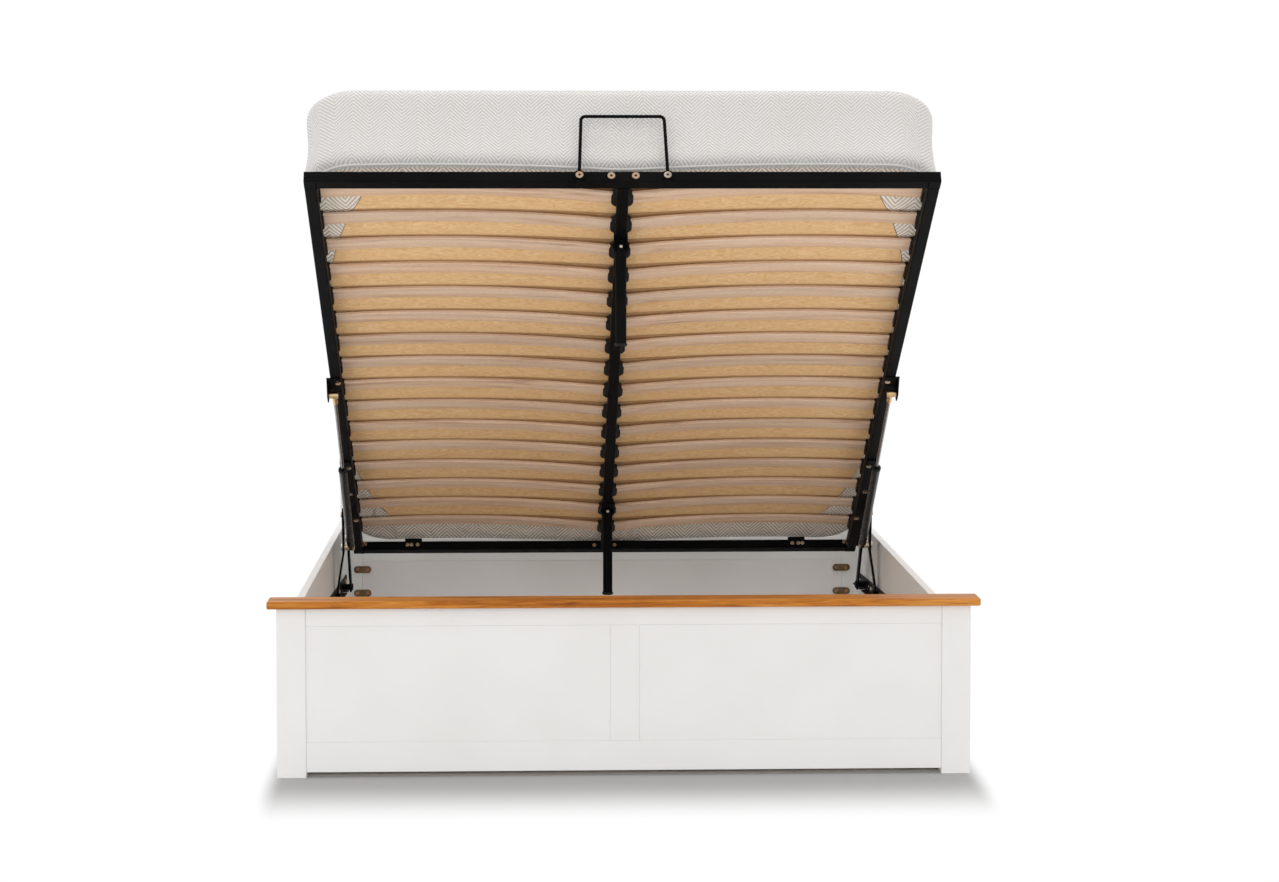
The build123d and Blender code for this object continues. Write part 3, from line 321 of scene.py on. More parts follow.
def beechSlat():
    material, tree, shader = newMaterial("beechSlat", (0.62, 0.48, 0.37), 0.48)
    level = (deck["tilt"], 0, 0)
    x, y, z = axesOf(tree, placeOf(tree, turn=level))
    # each slat, left and right, has a shade of its own: a random value per pitch along the platform
    pitch = mathOf(tree, "FLOOR", mathOf(tree, "MULTIPLY_ADD", y, 1 / slats["pitch"], beech["change"]))
    pair = tree.nodes.new("ShaderNodeCombineXYZ")
    tree.links.new(pitch, pair.inputs[0])
    tree.links.new(mathOf(tree, "SIGN", x), pair.inputs[1])
    own = tree.nodes.new("ShaderNodeTexWhiteNoise")
    own.noise_dimensions = "2D"
    tree.links.new(pair.outputs[0], own.inputs["Vector"])
    moved = tree.nodes.new("ShaderNodeVectorMath")
    moved.operation = "MULTIPLY_ADD"
    tree.links.new(own.outputs["Color"], moved.inputs[0])
    moved.inputs[1].default_value = beech["moves"]
    tree.links.new(placeOf(tree, (1.1, 26, 26), level), moved.inputs[2])
    streak = noiseOf(tree, moved.outputs[0], scale=2.4, detail=5.0, rough=0.6, warp=0.8)
    fleck = noiseOf(tree, placeOf(tree, (45, 420, 420), level), scale=2.0, detail=2.0, rough=0.6)
    colour = rampOf(tree, streak, (0.24, (0.50, 0.30, 0.19)), (0.38, (0.76, 0.545, 0.395)),
                    (0.55, (0.86, 0.66, 0.50)), (0.75, (0.90, 0.73, 0.58)))
    shade = rampOf(tree, own.outputs["Value"], (0.0, (0.88, 0.86, 0.85)), (0.5, (1.0, 0.985, 0.97)),
                   (1.0, (1.0, 0.93, 0.88)))
    flecks = rampOf(tree, fleck, (0.34, (0.72, 0.62, 0.55)), (0.46, (1, 1, 1)))
    flecked = mixOf(tree, 0.5, colour, flecks, "MULTIPLY")
    # the long sides show the glued plies: dark lines at equal heights above the bowed underside
    reach = rangeOf(tree, mathOf(tree, "ABSOLUTE", x), (slats["inner"], slats["outer"]), (0.0, 1.0))
    arch = mathOf(tree, "MULTIPLY", reach, mathOf(tree, "SUBTRACT", 1.0, reach))
    bowed = mathOf(tree, "MULTIPLY", arch, 4 * slats["bow"])
    under = deck["headY"] * deckSin + deck["headZ"] * deckCos + slats["low"]
    height = mathOf(tree, "SUBTRACT", mathOf(tree, "SUBTRACT", z, under),
                    mathOf(tree, "MULTIPLY_ADD", reach, slats["rise"], bowed))
    ply = mathOf(tree, "PINGPONG", height, slats["ply"] / 2)
    line = rangeOf(tree, ply, (0.0, slats["ply"] * beech["glueShare"]), (1.0, 0.0))
    facing = dotOf(tree, tree.nodes.new("ShaderNodeNewGeometry").outputs["True Normal"], footward)
    side = rangeOf(tree, mathOf(tree, "ABSOLUTE", facing), (0.85, 0.95), (0.0, beech["glueShows"]))
    # painted light: warm light bounced from the cloth, painted onto each slat towards its head side
    start = deck["headY"] * deckCos - deck["headZ"] * deckSin - slats["first"]
    share = mathOf(tree, "FRACT", mathOf(tree, "DIVIDE", mathOf(tree, "SUBTRACT", start, y), slats["pitch"]))
    bounceTintEnd = beech["bounceTintShare"] * slats["wide"] / slats["pitch"]
    bounceLight = rangeOf(tree, share, (0.0, bounceTintEnd), (beech["bounceTintShows"], 0.0))
    toned = mixOf(tree, 1.0, flecked, shade, "MULTIPLY")
    withBounce = mixOf(tree, bounceLight, toned, mixOf(tree, 1.0, toned, beech["bounceTint"], "MULTIPLY"))
    lined = mixOf(tree, mathOf(tree, "MULTIPLY", line, side), withBounce, beech["glue"])
    tree.links.new(lined, shader.inputs["Base Color"])
    bumpOf(tree, shader, streak, strength=0.15, distance=0.0006)
    return material


def blackSteel():
    # powder coat: nearly black, with a fine grain in its gloss and relief
    material, tree, shader = newMaterial("blackSteel", (0.003, 0.003, 0.0033), 0.5, Specular_IOR_Level=0.05)
    grain = noiseOf(tree, placeOf(tree), scale=1400.0, detail=2.0, rough=0.6)
    cloud = noiseOf(tree, placeOf(tree), scale=9.0)
    colour = tonesOf(tree, cloud, (0.002, 0.002, 0.0022), (0.0042, 0.0043, 0.0047))
    tree.links.new(colour, shader.inputs["Base Color"])
    tree.links.new(rangeOf(tree, grain, (0.3, 0.7), (0.42, 0.6)), shader.inputs["Roughness"])
    bumpOf(tree, shader, grain, strength=0.2, distance=0.0002)
    return material


def glossBlack():
    # the gas struts' smooth paint, unevenly polished
    material, tree, shader = newMaterial("glossBlack", (0.006, 0.006, 0.007), 0.3, Specular_IOR_Level=0.4)
    cloud = noiseOf(tree, placeOf(tree), scale=40.0)
    colour = tonesOf(tree, cloud, (0.0045, 0.0045, 0.005), (0.0075, 0.0075, 0.0085))
    tree.links.new(colour, shader.inputs["Base Color"])
    tree.links.new(rangeOf(tree, cloud, (0.3, 0.7), (0.22, 0.36)), shader.inputs["Roughness"])
    return material


def blackPlastic():
    # moulded caps and holders: a fine moulding grain and small clouds
    material, tree, shader = newMaterial("blackPlastic", (0.009, 0.009, 0.0095), 0.5, Specular_IOR_Level=0.25)
    grain = noiseOf(tree, placeOf(tree), scale=2200.0, detail=2.0)
    bumpOf(tree, shader, grain, strength=0.2, distance=0.00015)
    cloud = noiseOf(tree, placeOf(tree), scale=60.0, detail=2.0)
    colour = tonesOf(tree, cloud, (0.007, 0.007, 0.0075), (0.011, 0.011, 0.0115))
    tree.links.new(colour, shader.inputs["Base Color"])
    tree.links.new(rangeOf(tree, cloud, (0.3, 0.7), (0.42, 0.58)), shader.inputs["Roughness"])
    return material


# The bolts' sockets: the thickness of the handle's eye under the outer bolts, the depth over which the
# painted shade in a socket fades in, and the colour of that painted shade
sockets = {"step": 0.0035, "fade": (0.0004, 0.0008), "dark": (0.03, 0.026, 0.022)}


def metal(name, low, high, rough, drift=None, face=None):
    # a plated metal; drift is a second colour that it changes to from one fitting to the next; face is how
    # far along the platform the outer bolts' end faces are, and the inner ones lie one step behind them;
    # behind each face the socket is painted dark as shade
    material, tree, shader = newMaterial(name, high, rough, metallic=1.0)
    cloud = noiseOf(tree, placeOf(tree), scale=120.0)
    colour = tonesOf(tree, cloud, low, high)
    if drift is not None:
        slow = noiseOf(tree, placeOf(tree), scale=14.0, detail=1.0)
        colour = mixOf(tree, rangeOf(tree, slow, (0.44, 0.56), (0.0, 1.0)), colour, drift)
    if face is not None:
        along = dotOf(tree, placeOf(tree, shift=(0, -deck["headY"], -deck["headZ"])), footward)
        # painted shade: inside each bolt's socket, behind its end face, the metal is darkened
        behind = mathOf(tree, "PINGPONG", mathOf(tree, "SUBTRACT", face, along), sockets["step"] / 2)
        colour = mixOf(tree, rangeOf(tree, behind, sockets["fade"], (0.0, 1.0)), colour, sockets["dark"])
    tree.links.new(colour, shader.inputs["Base Color"])
    tree.links.new(rangeOf(tree, cloud, (0.3, 0.7), (rough * 0.8, rough * 1.2)), shader.inputs["Roughness"])
    bumpOf(tree, shader, cloud, strength=0.08, distance=0.0003)
    return material


def paintCad():
    finishes["white"] = paintedTimber()
    finishes["oak"] = oakLacquer()
    finishes["lining"] = liningBoard()
    finishes["pine"] = planedPine()
    finishes["beech"] = beechSlat()
    finishes["steel"] = blackSteel()
    finishes["strut"] = glossBlack()
    finishes["plastic"] = blackPlastic()
    finishes["zinc"] = metal("zincPlate", (0.55, 0.49, 0.38), (0.74, 0.68, 0.57), 0.3,
                             drift=(0.68, 0.44, 0.27))
    finishes["bronze"] = metal("bronzePlate", (0.16, 0.105, 0.055), (0.27, 0.19, 0.11), 0.42)
    finishes["copper"] = metal("copperScrew", (0.30, 0.17, 0.09), (0.50, 0.30, 0.17), 0.38)
    finishes["brass"] = metal("turnedBrass", (0.6, 0.42, 0.18), (0.78, 0.58, 0.27), 0.25)
    # painted reflection: the chrome's colour is darkened to stand in for the dark tubes that it reflects
    finishes["chrome"] = metal("hardChrome", (0.20, 0.20, 0.21), (0.34, 0.34, 0.35), 0.14)
    boltEnd = deckSpan("foot_tube_bolts")[1][1]
    finishes["bolt"] = metal("boltZinc", (0.34, 0.30, 0.24), (0.54, 0.49, 0.40), 0.34,
                             drift=(0.50, 0.33, 0.21), face=boltEnd)
    bySlot = {"oak": "oak", "white_paint": "white", "lining_board": "lining", "pine": "pine",
              "bronze_plate": "bronze", "zinc_steel": "zinc", "black_steel": "steel", "rod_steel": "chrome",
              "brass": "brass", "beech": "beech", "black_plastic": "plastic"}
    byNode = {"left_strut_cylinder": "strut", "right_strut_cylinder": "strut", "foot_tube_bolts": "bolt",
              "base_pivot_pins": "steel", "leg_pins": "steel"}
    for part in frame["record"]["subparts"]:
        if part["material_slot"] in bySlot:
            mesh = nodes[part["node"]].data
            mesh.materials.clear()
            mesh.materials.append(finishes[byNode.get(part["node"], bySlot[part["material_slot"]])])


def quadGrid(rows, columns, start=0, wrap=False):
    # corner numbers of the quads of a rows x columns grid; wrap joins the last column to the first
    across = columns if wrap else columns - 1
    r, c = np.meshgrid(np.arange(rows - 1), np.arange(across), indexing="ij")
    after = (c + 1) % columns
    corners = [r * columns + c, r * columns + after, (r + 1) * columns + after, (r + 1) * columns + c]
    return np.stack(corners, -1).reshape(-1, 4) + start


def makePiece(name, points, quads, materials, faceMaterial=None, layout=None, smooth=True, tris=None):
    mesh = bpy.data.meshes.new(name)
    faces = quads.tolist() + ([] if tris is None else tris.tolist())
    mesh.from_pydata(points.reshape(-1, 3).tolist(), [], faces)
    for material in materials:
        mesh.materials.append(material)
    if faceMaterial is not None:
        mesh.polygons.foreach_set("material_index", np.asarray(faceMaterial, dtype=np.int32))
    if layout is not None:  # one (u, v) per face corner, in metres
        mesh.uv_layers.new(name="lay").data.foreach_set("uv", np.asarray(layout, dtype=np.float32).ravel())
    mesh.polygons.foreach_set("use_smooth", np.full(len(mesh.polygons), smooth))
    mesh.update()
    piece = bpy.data.objects.new(name, mesh)
    bpy.context.scene.collection.objects.link(piece)
    return piece


def fixOutward(piece):
    # turns the faces outward by the sign of the closed mesh's volume
    mesh = piece.data
    place = np.empty(len(mesh.vertices) * 3)
    mesh.vertices.foreach_get("co", place)
    place = place.reshape(-1, 3)
    mesh.calc_loop_triangles()
    corners = np.empty(len(mesh.loop_triangles) * 3, dtype=np.int32)
    mesh.loop_triangles.foreach_get("vertices", corners)
    a, b, c = (place[corners.reshape(-1, 3)[:, k]] for k in range(3))
    if np.sum(a * np.cross(b, c)) < 0:
        mesh.flip_normals()


def tubeAlong(name, line, radius, sides, material, closed=True):
    # a round tube: each ring is centre + radius * (cos * normal + sin * binormal) of the line;
    # open ends get a fan of triangles
    if closed:
        before, after = np.roll(line, 1, 0), np.roll(line, -1, 0)
    else:
        before, after = np.vstack([line[:1], line[:-1]]), np.vstack([line[1:], line[-1:]])
    tangent = after - before
    tangent /= np.linalg.norm(tangent, axis=1)[:, None]
    normal = np.cross(tangent, (0.0, deckSin, deckCos))
    normal /= np.linalg.norm(normal, axis=1)[:, None]
    binormal = np.cross(tangent, normal)
    angle = np.linspace(0, 2 * np.pi, sides, endpoint=False)[None, :, None]
    radius = np.broadcast_to(radius, len(line))[:, None, None]
    rings = line[:, None] + radius * (np.cos(angle) * normal[:, None] + np.sin(angle) * binormal[:, None])
    last = len(rings) * sides
    if closed:
        quads = quadGrid(len(rings) + 1, sides, wrap=True)
        piece = makePiece(name, rings, np.where(quads >= last, quads - last, quads), [material])
    else:
        around = np.arange(sides)
        after, final = np.roll(around, -1), last - sides
        start = np.stack([after, around, np.full(sides, last)], -1)
        end = np.stack([around + final, after + final, np.full(sides, last + 1)], -1)
        points = np.concatenate([rings.reshape(-1, 3), line[:1], line[-1:]])
        piece = makePiece(name, points, quadGrid(len(rings), sides, wrap=True), [material],
                          tris=np.concatenate([start, end]))
    fixOutward(piece)
    return piece


# The mattress lies in its CAD solid's box. Its sides are drawn in by edge at the rims, over edgeShare of the
# height, and by waist at half height; cornerShare of edge comes off the corners' radius. Its underside takes
# up the share follow of the slats' bow, and bulges between them up to bulgeEdge from the bed's middle.
mattressLow, mattressHigh = deckSpan("mattress")
mattress = {"halfWide": mattressHigh[0], "foot": mattressHigh[1], "long": mattressHigh[1] - mattressLow[1],
            "under": mattressLow[2], "thick": mattressHigh[2] - mattressLow[2],
            "gridAcross": 84, "gridAlong": 400, "cornerRows": 16, "sideRows": 18,
            "corner": 0.098, "cornerShare": 0.4, "edge": 0.022, "edgeShare": 0.14, "waist": 0.006,
            "crown": 0.006, "ripple": 0.0012, "rippleWaves": (0.045, 0.19),
            "follow": 0.6, "bulge": 0.005, "bulgeEdge": 0.66, "bulgeFade": 0.02, "droop": 0.009}
quilt = {"fold": 0.13, "pitch": 0.052, "depth": 0.006, "halfWide": 0.64, "halfLong": 0.9, "fade": 0.05}
piping = {"radius": 0.003, "sides": 8, "outShare": 0.30, "inset": 0.0045}


def mattressSheet(up, crown, relief):
    # one face of the mattress: a rectangular grid whose rows narrow to the rounded corners;
    # height = up + crown * (1 - x^4)(1 - y^4) + relief
    m = mattress
    inner = m["halfWide"] - m["edge"]
    halfLong = m["long"] / 2 - m["edge"]
    across = np.linspace(-1, 1, m["gridAcross"])
    radius = m["corner"] - m["edge"] * m["cornerShare"]
    turn = radius * np.sin(np.linspace(0, np.pi / 2, m["cornerRows"] + 1)[1:])
    straight = halfLong - radius
    middle = np.linspace(-straight, straight, m["gridAlong"] - 2 * m["cornerRows"])
    along = np.concatenate([-straight - turn[::-1], middle, straight + turn])
    past = np.clip(np.abs(along) - straight, 0, radius)
    half = inner - radius + np.sqrt(radius ** 2 - past ** 2)
    x = across[None, :] * half[:, None]
    y = np.broadcast_to(along[:, None], x.shape)
    swell = crown * (1 - (x / m["halfWide"]) ** 4) * (1 - (y / (m["long"] / 2)) ** 4)
    return np.stack([x, y, up + swell + relief(x, y)], -1)


def quilting(x, y):
    # chevron channels: a zigzag wave across the bed moves the rows, and each channel is a narrow rounded
    # valley, -depth * (1 - |sin|^0.6), that fades out near the rim
    q = quilt
    zigzag = np.abs(((x / q["fold"]) % 2) - 1) * q["fold"] / 2
    wave = np.abs(np.sin(np.pi * (y + zigzag) / q["pitch"]))
    fade = np.clip((q["halfWide"] - np.abs(x)) / q["fade"], 0, 1)
    fade = fade * np.clip((q["halfLong"] - np.abs(y)) / q["fade"], 0, 1)
    return -q["depth"] * (1 - wave ** 0.6) * fade


def restingForm(across, along):
    # the underside on its slats: it follows the bowed slats' tops part of the way, bulges down between them
    # as bulge * sin(pi * share of the gap)^0.6, and droops before the first slat as
    # droop * (1 - along / first)^1.5
    s, m = slats, mattress
    reach = np.clip((np.abs(across) - s["inner"]) / (s["outer"] - s["inner"]), 0, 1)
    bowed = s["rise"] * reach + 4 * s["bow"] * reach * (1 - reach) - s["crest"]
    share = np.clip(((along - s["first"]) % s["pitch"] - s["wide"]) / (s["pitch"] - s["wide"]), 0, 1)
    between = (along > s["first"]) & (along < s["first"] + s["pitch"] * (s["count"] - 1))
    inner = np.clip((m["bulgeEdge"] - np.abs(across)) / m["bulgeFade"], 0, 1)
    bulge = np.sin(np.pi * share).clip(0, 1) ** 0.6 * between * inner
    droop = m["droop"] * np.clip(1 - along / s["first"], 0, 1) ** 1.5
    return m["follow"] * bowed - m["bulge"] * bulge - droop


def rimOf(grid):
    # the outline of a grid, once round
    return np.concatenate([grid[0, :-1], grid[:-1, -1], grid[-1, :0:-1], grid[:0:-1, 0]])


def outwardOf(rim):
    # outward direction of an outline in plan, square to its own tangent
    tangent = (np.roll(rim, -1, 0) - np.roll(rim, 1, 0))[:, :2]
    tangent /= np.linalg.norm(tangent, axis=1)[:, None]
    out = np.stack([tangent[:, 1], -tangent[:, 0]], -1)
    return -out if np.sum(out * rim[:, :2]) < 0 else out


def mattressSide(rim, base, out, share, run):
    # rows between the two outlines, each a blend of them moved outward by
    # edge * sqrt(1 - (1 - bend)^2) - waist * sin(pi * share)^2 + ripple, where bend is 1 away from both rims
    m = mattress
    bend = np.clip(np.minimum(share, 1 - share) / m["edgeShare"], 0, 1)
    bulge = m["edge"] * np.sqrt(1 - (1 - bend) ** 2) - m["waist"] * np.sin(np.pi * share) ** 2
    short, slow = m["rippleWaves"]
    ripple = m["ripple"] * np.sin(run / short) * np.sin(run / slow + 1)
    offset = bulge[:, None] + ripple[None, :] * np.sin(np.pi * share)[:, None] ** 2
    side = rim[None] * share[:, None, None] + base[None] * (1 - share)[:, None, None]
    side[..., :2] += out[None] * offset[..., None]
    return side


def buildMattress():
    # a top sheet, a low sheet and the side between their outlines, closed into one surface
    m = mattress
    centre = m["foot"] - m["long"] / 2
    top = mattressSheet(m["thick"] - m["crown"], m["crown"], quilting)
    low = mattressSheet(0.0, 0.0, lambda x, y: restingForm(x, y + centre))
    rim, base = rimOf(top), rimOf(low)
    out = outwardOf(rim)
    share = np.linspace(0, 1, m["sideRows"])
    step = np.linalg.norm(np.diff(np.vstack([rim, rim[:1]])[:, :2], axis=0), axis=1)
    run = np.concatenate([[0], np.cumsum(step)])  # along the outline, with its whole length last
    side = mattressSide(rim, base, out, share, run[:-1])
    points = np.concatenate([top.reshape(-1, 3), low.reshape(-1, 3), side[1:-1].reshape(-1, 3)])

    sheetCount = m["gridAcross"] * m["gridAlong"]
    index = np.arange(sheetCount).reshape(m["gridAlong"], m["gridAcross"])
    topRim, lowRim = rimOf(index), rimOf(index) + sheetCount
    middle = np.arange((m["sideRows"] - 2) * len(rim)).reshape(-1, len(rim)) + 2 * sheetCount
    band = np.vstack([lowRim[None], middle, topRim[None]])
    r, c = np.meshgrid(np.arange(m["sideRows"] - 1), np.arange(len(rim)), indexing="ij")
    after = (c + 1) % len(rim)
    sideQuads = np.stack([band[r, c], band[r, after], band[r + 1, after], band[r + 1, c]], -1).reshape(-1, 4)
    topQuads = quadGrid(m["gridAlong"], m["gridAcross"])
    lowQuads = quadGrid(m["gridAlong"], m["gridAcross"], sheetCount)[:, ::-1]
    quads = np.concatenate([topQuads, lowQuads, sideQuads])

    # layout in metres: x and along on both faces, run and height on the side
    flat = points[:, :2] + (0, centre)
    u = np.stack([run[c], run[c + 1], run[c + 1], run[c]], -1)
    v = np.stack([share[r], share[r], share[r + 1], share[r + 1]], -1) * m["thick"]
    layout = np.concatenate([flat[topQuads].reshape(-1, 2), flat[lowQuads].reshape(-1, 2),
                             np.stack([u, v], -1).reshape(-1, 2)])
    slotOf = np.repeat([0, 1, 2], [len(topQuads), len(lowQuads), len(sideQuads)])
    placed = deckPlace(points[:, 0], points[:, 1] + centre, points[:, 2] + m["under"])
    covers = [knitCover("knitTop"), baseCloth(centre), knitCover("knitBorder")]
    piece = makePiece("mattress_body", placed, quads, covers, slotOf, layout)
    fixOutward(piece)
    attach(piece, "platform")
    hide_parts("mattress")
    rims = (("mattress_piping_top", -1, -piping["inset"]), ("mattress_piping_low", 0, piping["inset"]))
    for name, row, rise in rims:
        x, y = (side[row, :, :2] + out * (m["edge"] * piping["outShare"])).T
        line = deckPlace(x, y + centre, side[row, :, 2] + rise + m["under"])
        cordPiece = tubeAlong(name, line, piping["radius"], piping["sides"], finishes["piping"])
        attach(cordPiece, "platform")


knitRibs = {"fold": 0.034, "slope": 1.0, "pitch": 0.0085}


def knitCover(name):
    # white knit with fine zigzag ribs, painted darker in their grooves as shade, small loops and soft clouds
    # of tone
    material, tree, shader = newMaterial(name, (0.80, 0.79, 0.77), 0.85, Sheen_Weight=0.25)
    x, y, _ = axesOf(tree, placeOf(tree, source="UV"))
    rib = ribsOf(tree, x, y, knitRibs)
    loops = noiseOf(tree, placeOf(tree, source="UV"), scale=900.0, detail=2.0)
    cloud = noiseOf(tree, placeOf(tree, source="UV"), scale=6.0)
    # painted shade: the ribs' grooves are darker than their ridges
    colour = mixOf(tree, rib, (0.60, 0.585, 0.565), (0.83, 0.82, 0.80))
    tinted = mixOf(tree, 0.6, colour, tonesOf(tree, cloud, (0.94, 0.93, 0.915), (1, 1, 1)), "MULTIPLY")
    tree.links.new(tinted, shader.inputs["Base Color"])
    fine = bumpOf(tree, shader, loops, strength=0.25, distance=0.0004)
    bumpOf(tree, shader, rib, strength=0.7, distance=0.0018, under=fine)
    return material


def pipingTape():
    # woven tape round both rims
    material, tree, shader = newMaterial("pipingTape", (0.78, 0.77, 0.75), 0.8)
    weave = noiseOf(tree, placeOf(tree), scale=1500.0, detail=2.0)
    colour = rampOf(tree, weave, (0.35, (0.66, 0.65, 0.63)), (0.6, (0.82, 0.81, 0.79)))
    tree.links.new(colour, shader.inputs["Base Color"])
    bumpOf(tree, shader, weave, strength=0.3, distance=0.0004)
    return material


# The cloth under the mattress, from its middle: half width, where its sides start to curve in and how fast,
# how far it reaches towards the foot and the head, and the blend at its edge. seam is how far from the edge
# the sewn line fades out; the span that follows its strength is the same for the painted shade line past
# each slat, where the cloth meets the slat, as shares of a pitch.
clothForm = {"halfWide": 0.643, "curveStart": 0.38, "curve": 0.4645, "foot": 0.872, "head": 0.838,
             "blend": 0.0006, "seam": (0.0008, 0.0024), "seamShows": 0.2, "slatShade": (0.03, 0.11),
             "slatShadeShows": 0.6}
wideRibs = {"fold": 0.042, "slope": -1.75, "pitch": 0.017}


def baseCloth(centre):
    # golden non-slip cloth with curved sides, and the white knit cover round it
    f = clothForm
    material, tree, shader = newMaterial("baseCloth", (0.62, 0.42, 0.2), 0.8)
    across, along, _ = axesOf(tree, placeOf(tree, source="UV", shift=(0, -centre, 0)))
    x, y = mathOf(tree, "ABSOLUTE", across), mathOf(tree, "ABSOLUTE", along)
    # its outline: half width less a square term that grows towards each end
    past = mathOf(tree, "MAXIMUM", mathOf(tree, "ADD", y, -f["curveStart"]), 0.0)
    side = mathOf(tree, "MULTIPLY_ADD", mathOf(tree, "MULTIPLY", past, past), f["curve"], -f["halfWide"])
    ends = mathOf(tree, "MAXIMUM", mathOf(tree, "ADD", along, -f["foot"]),
                  mathOf(tree, "SUBTRACT", -f["head"], along))
    edge = mathOf(tree, "MAXIMUM", mathOf(tree, "ADD", x, side), ends)
    knit = rangeOf(tree, edge, (-f["blend"], f["blend"]), (0.0, 1.0))
    seam = rangeOf(tree, mathOf(tree, "ABSOLUTE", edge), f["seam"], (f["seamShows"], 0.0))
    squeezed = placeOf(tree, (1, 2.4, 1), source="UV")
    swirl = noiseOf(tree, squeezed, scale=30.0, detail=4.0, rough=0.6, warp=2.2)
    cloth = rampOf(tree, swirl, (0.32, (0.77, 0.465, 0.21)), (0.5, (0.865, 0.56, 0.275)),
                   (0.68, (0.92, 0.655, 0.36)))
    # the knit's ribs are wider and steeper here, and run the other way at each end; their grooves are painted
    # darker as shade
    rib = ribsOf(tree, x, y, wideRibs)
    grooveShade = mathOf(tree, "POWER", mathOf(tree, "SUBTRACT", 1.0, rib), 2.0)
    # painted shade: darker in the ribs' grooves than on their ridges
    ribbed = mixOf(tree, grooveShade, (1.0, 0.92, 0.82), (0.48, 0.41, 0.34))
    sewn = mixOf(tree, seam, mixOf(tree, knit, cloth, ribbed), (0.35, 0.27, 0.19))
    # painted shade: a thin darker line on the cloth along the foot side of each slat, where the cloth meets
    # the slat
    slatFoot = slats["first"] + slats["wide"] - centre
    pastSlat = mathOf(tree, "ADD", mathOf(tree, "ADD", along, -slatFoot), slats["pitch"])
    share = mathOf(tree, "FRACT", mathOf(tree, "DIVIDE", pastSlat, slats["pitch"]))
    pastFirst = mathOf(tree, "GREATER_THAN", along, slats["first"] - centre)
    line = rangeOf(tree, share, f["slatShade"], (f["slatShadeShows"], 0.0))
    slatShade = mathOf(tree, "MULTIPLY", line, pastFirst)
    tree.links.new(mixOf(tree, slatShade, sewn, (0.24, 0.11, 0.04)), shader.inputs["Base Color"])
    creases = noiseOf(tree, placeOf(tree, (16, 6, 1), source="UV"), scale=1.0, detail=2.0, warp=1.0)
    folds = bumpOf(tree, shader, mathOf(tree, "MULTIPLY", creases, knit), strength=0.8, distance=0.03)
    height = mathOf(tree, "ADD", mathOf(tree, "MULTIPLY", rib, knit), mathOf(tree, "MULTIPLY", swirl, 0.15))
    bumpOf(tree, shader, height, strength=0.6, distance=0.0016, under=folds)
    return material


def turned(outline, spokes):
    # radii, angles and heights of an outline of (radius, height) turned about Z
    angle = np.linspace(0, 2 * np.pi, spokes, endpoint=False)
    r, a = np.meshgrid(outline[:, 0], angle, indexing="ij")
    return r, a, np.repeat(outline[:, 1:], spokes, axis=1)


def lathe(outline, spokes, relief):
    # an outline turned about Z, from its lowest ring to its highest, with a fan on both ends;
    # relief(radius, angle) is added to the heights
    r, a, z = turned(outline, spokes)
    z = z + relief(r, a)
    rings = np.stack([r * np.cos(a), r * np.sin(a), z], -1).reshape(-1, 3)
    points = np.concatenate([rings, [[0, 0, z[0].mean()], [0, 0, z[-1].mean()]]])
    around = np.arange(spokes)
    after, high = np.roll(around, -1), len(rings) - spokes
    below = np.stack([np.full(spokes, len(rings)), after, around], -1)
    above = np.stack([np.full(spokes, len(rings) + 1), around + high, after + high], -1)
    return points, quadGrid(len(outline), spokes, wrap=True), np.concatenate([below, above])


def hoop(outline, spokes):
    # a ring: a closed outline turned about Z
    r, a, z = turned(outline, spokes)
    points = np.stack([r * np.cos(a), r * np.sin(a), z], -1).reshape(-1, 3)
    quads = quadGrid(len(outline) + 1, spokes, wrap=True)
    return points, np.where(quads >= len(points), quads - len(points), quads), None


def spread(name, shape, places, ups, material, body, turns=0.0):
    # one shape at many places: its own Z lies along each place's up direction, and it is turned about it
    points, quads, tris = shape
    places, ups = np.asarray(places, float), np.asarray(ups, float)
    ups = np.broadcast_to(ups / np.linalg.norm(ups, axis=-1, keepdims=True), places.shape)
    guide = np.where(np.abs(ups[:, 2:]) > 0.9, [[0.0, 1.0, 0.0]], [[0.0, 0.0, 1.0]])  # never near up
    one = np.cross(guide, ups)
    one /= np.linalg.norm(one, axis=1)[:, None]
    two = np.cross(ups, one)
    turn = np.broadcast_to(turns, len(places))[:, None]
    c, s = np.cos(turn), np.sin(turn)
    axes = np.stack([one * c + two * s, two * c - one * s, ups], 1)
    world = places[:, None] + np.einsum("mi,kij->kmj", points, axes)
    step = (np.arange(len(places)) * len(points))[:, None, None]
    piece = makePiece(name, world, (quads[None] + step).reshape(-1, 4), [material],
                      tris=None if tris is None else (tris[None] + step).reshape(-1, 3))
    fixOutward(piece)
    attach(piece, body)


# Outline of a screw's head, as shares of its radius and rise, the number of its spokes, and the cross in it:
# how far out the arms reach, over what they fade, and the hub, as shares of the radius; then the arms' width
headForm = {"radii": (1.0, 1.0, 0.95, 0.84, 0.7, 0.56, 0.46, 0.3, 0.16), "spokes": 24,
            "rises": (0.0, 0.3, 0.6, 0.85, 0.97, 1.0, 1.0, 1.0, 1.0),
            "reach": 0.56, "fade": 0.1, "hub": 0.2, "armWide": 0.2, "armFade": 0.7}


def screwHead(screw):
    # a low dome with a cross recess: four arms where cos(4 * angle) is high, out to half the radius
    f, radius, depth = headForm, screw["radius"], screw["recess"]

    def recess(r, a):
        arms = np.clip((np.cos(4 * a) + f["armWide"]) / f["armFade"], 0, 1)
        within = np.clip((f["reach"] * radius - r) / (f["fade"] * radius), 0, 1)
        return -depth * within * np.maximum(arms, r < f["hub"] * radius)

    outline = np.stack([radius * np.array(f["radii"]), screw["rise"] * np.array(f["rises"])], -1)
    return lathe(outline, f["spokes"], recess)


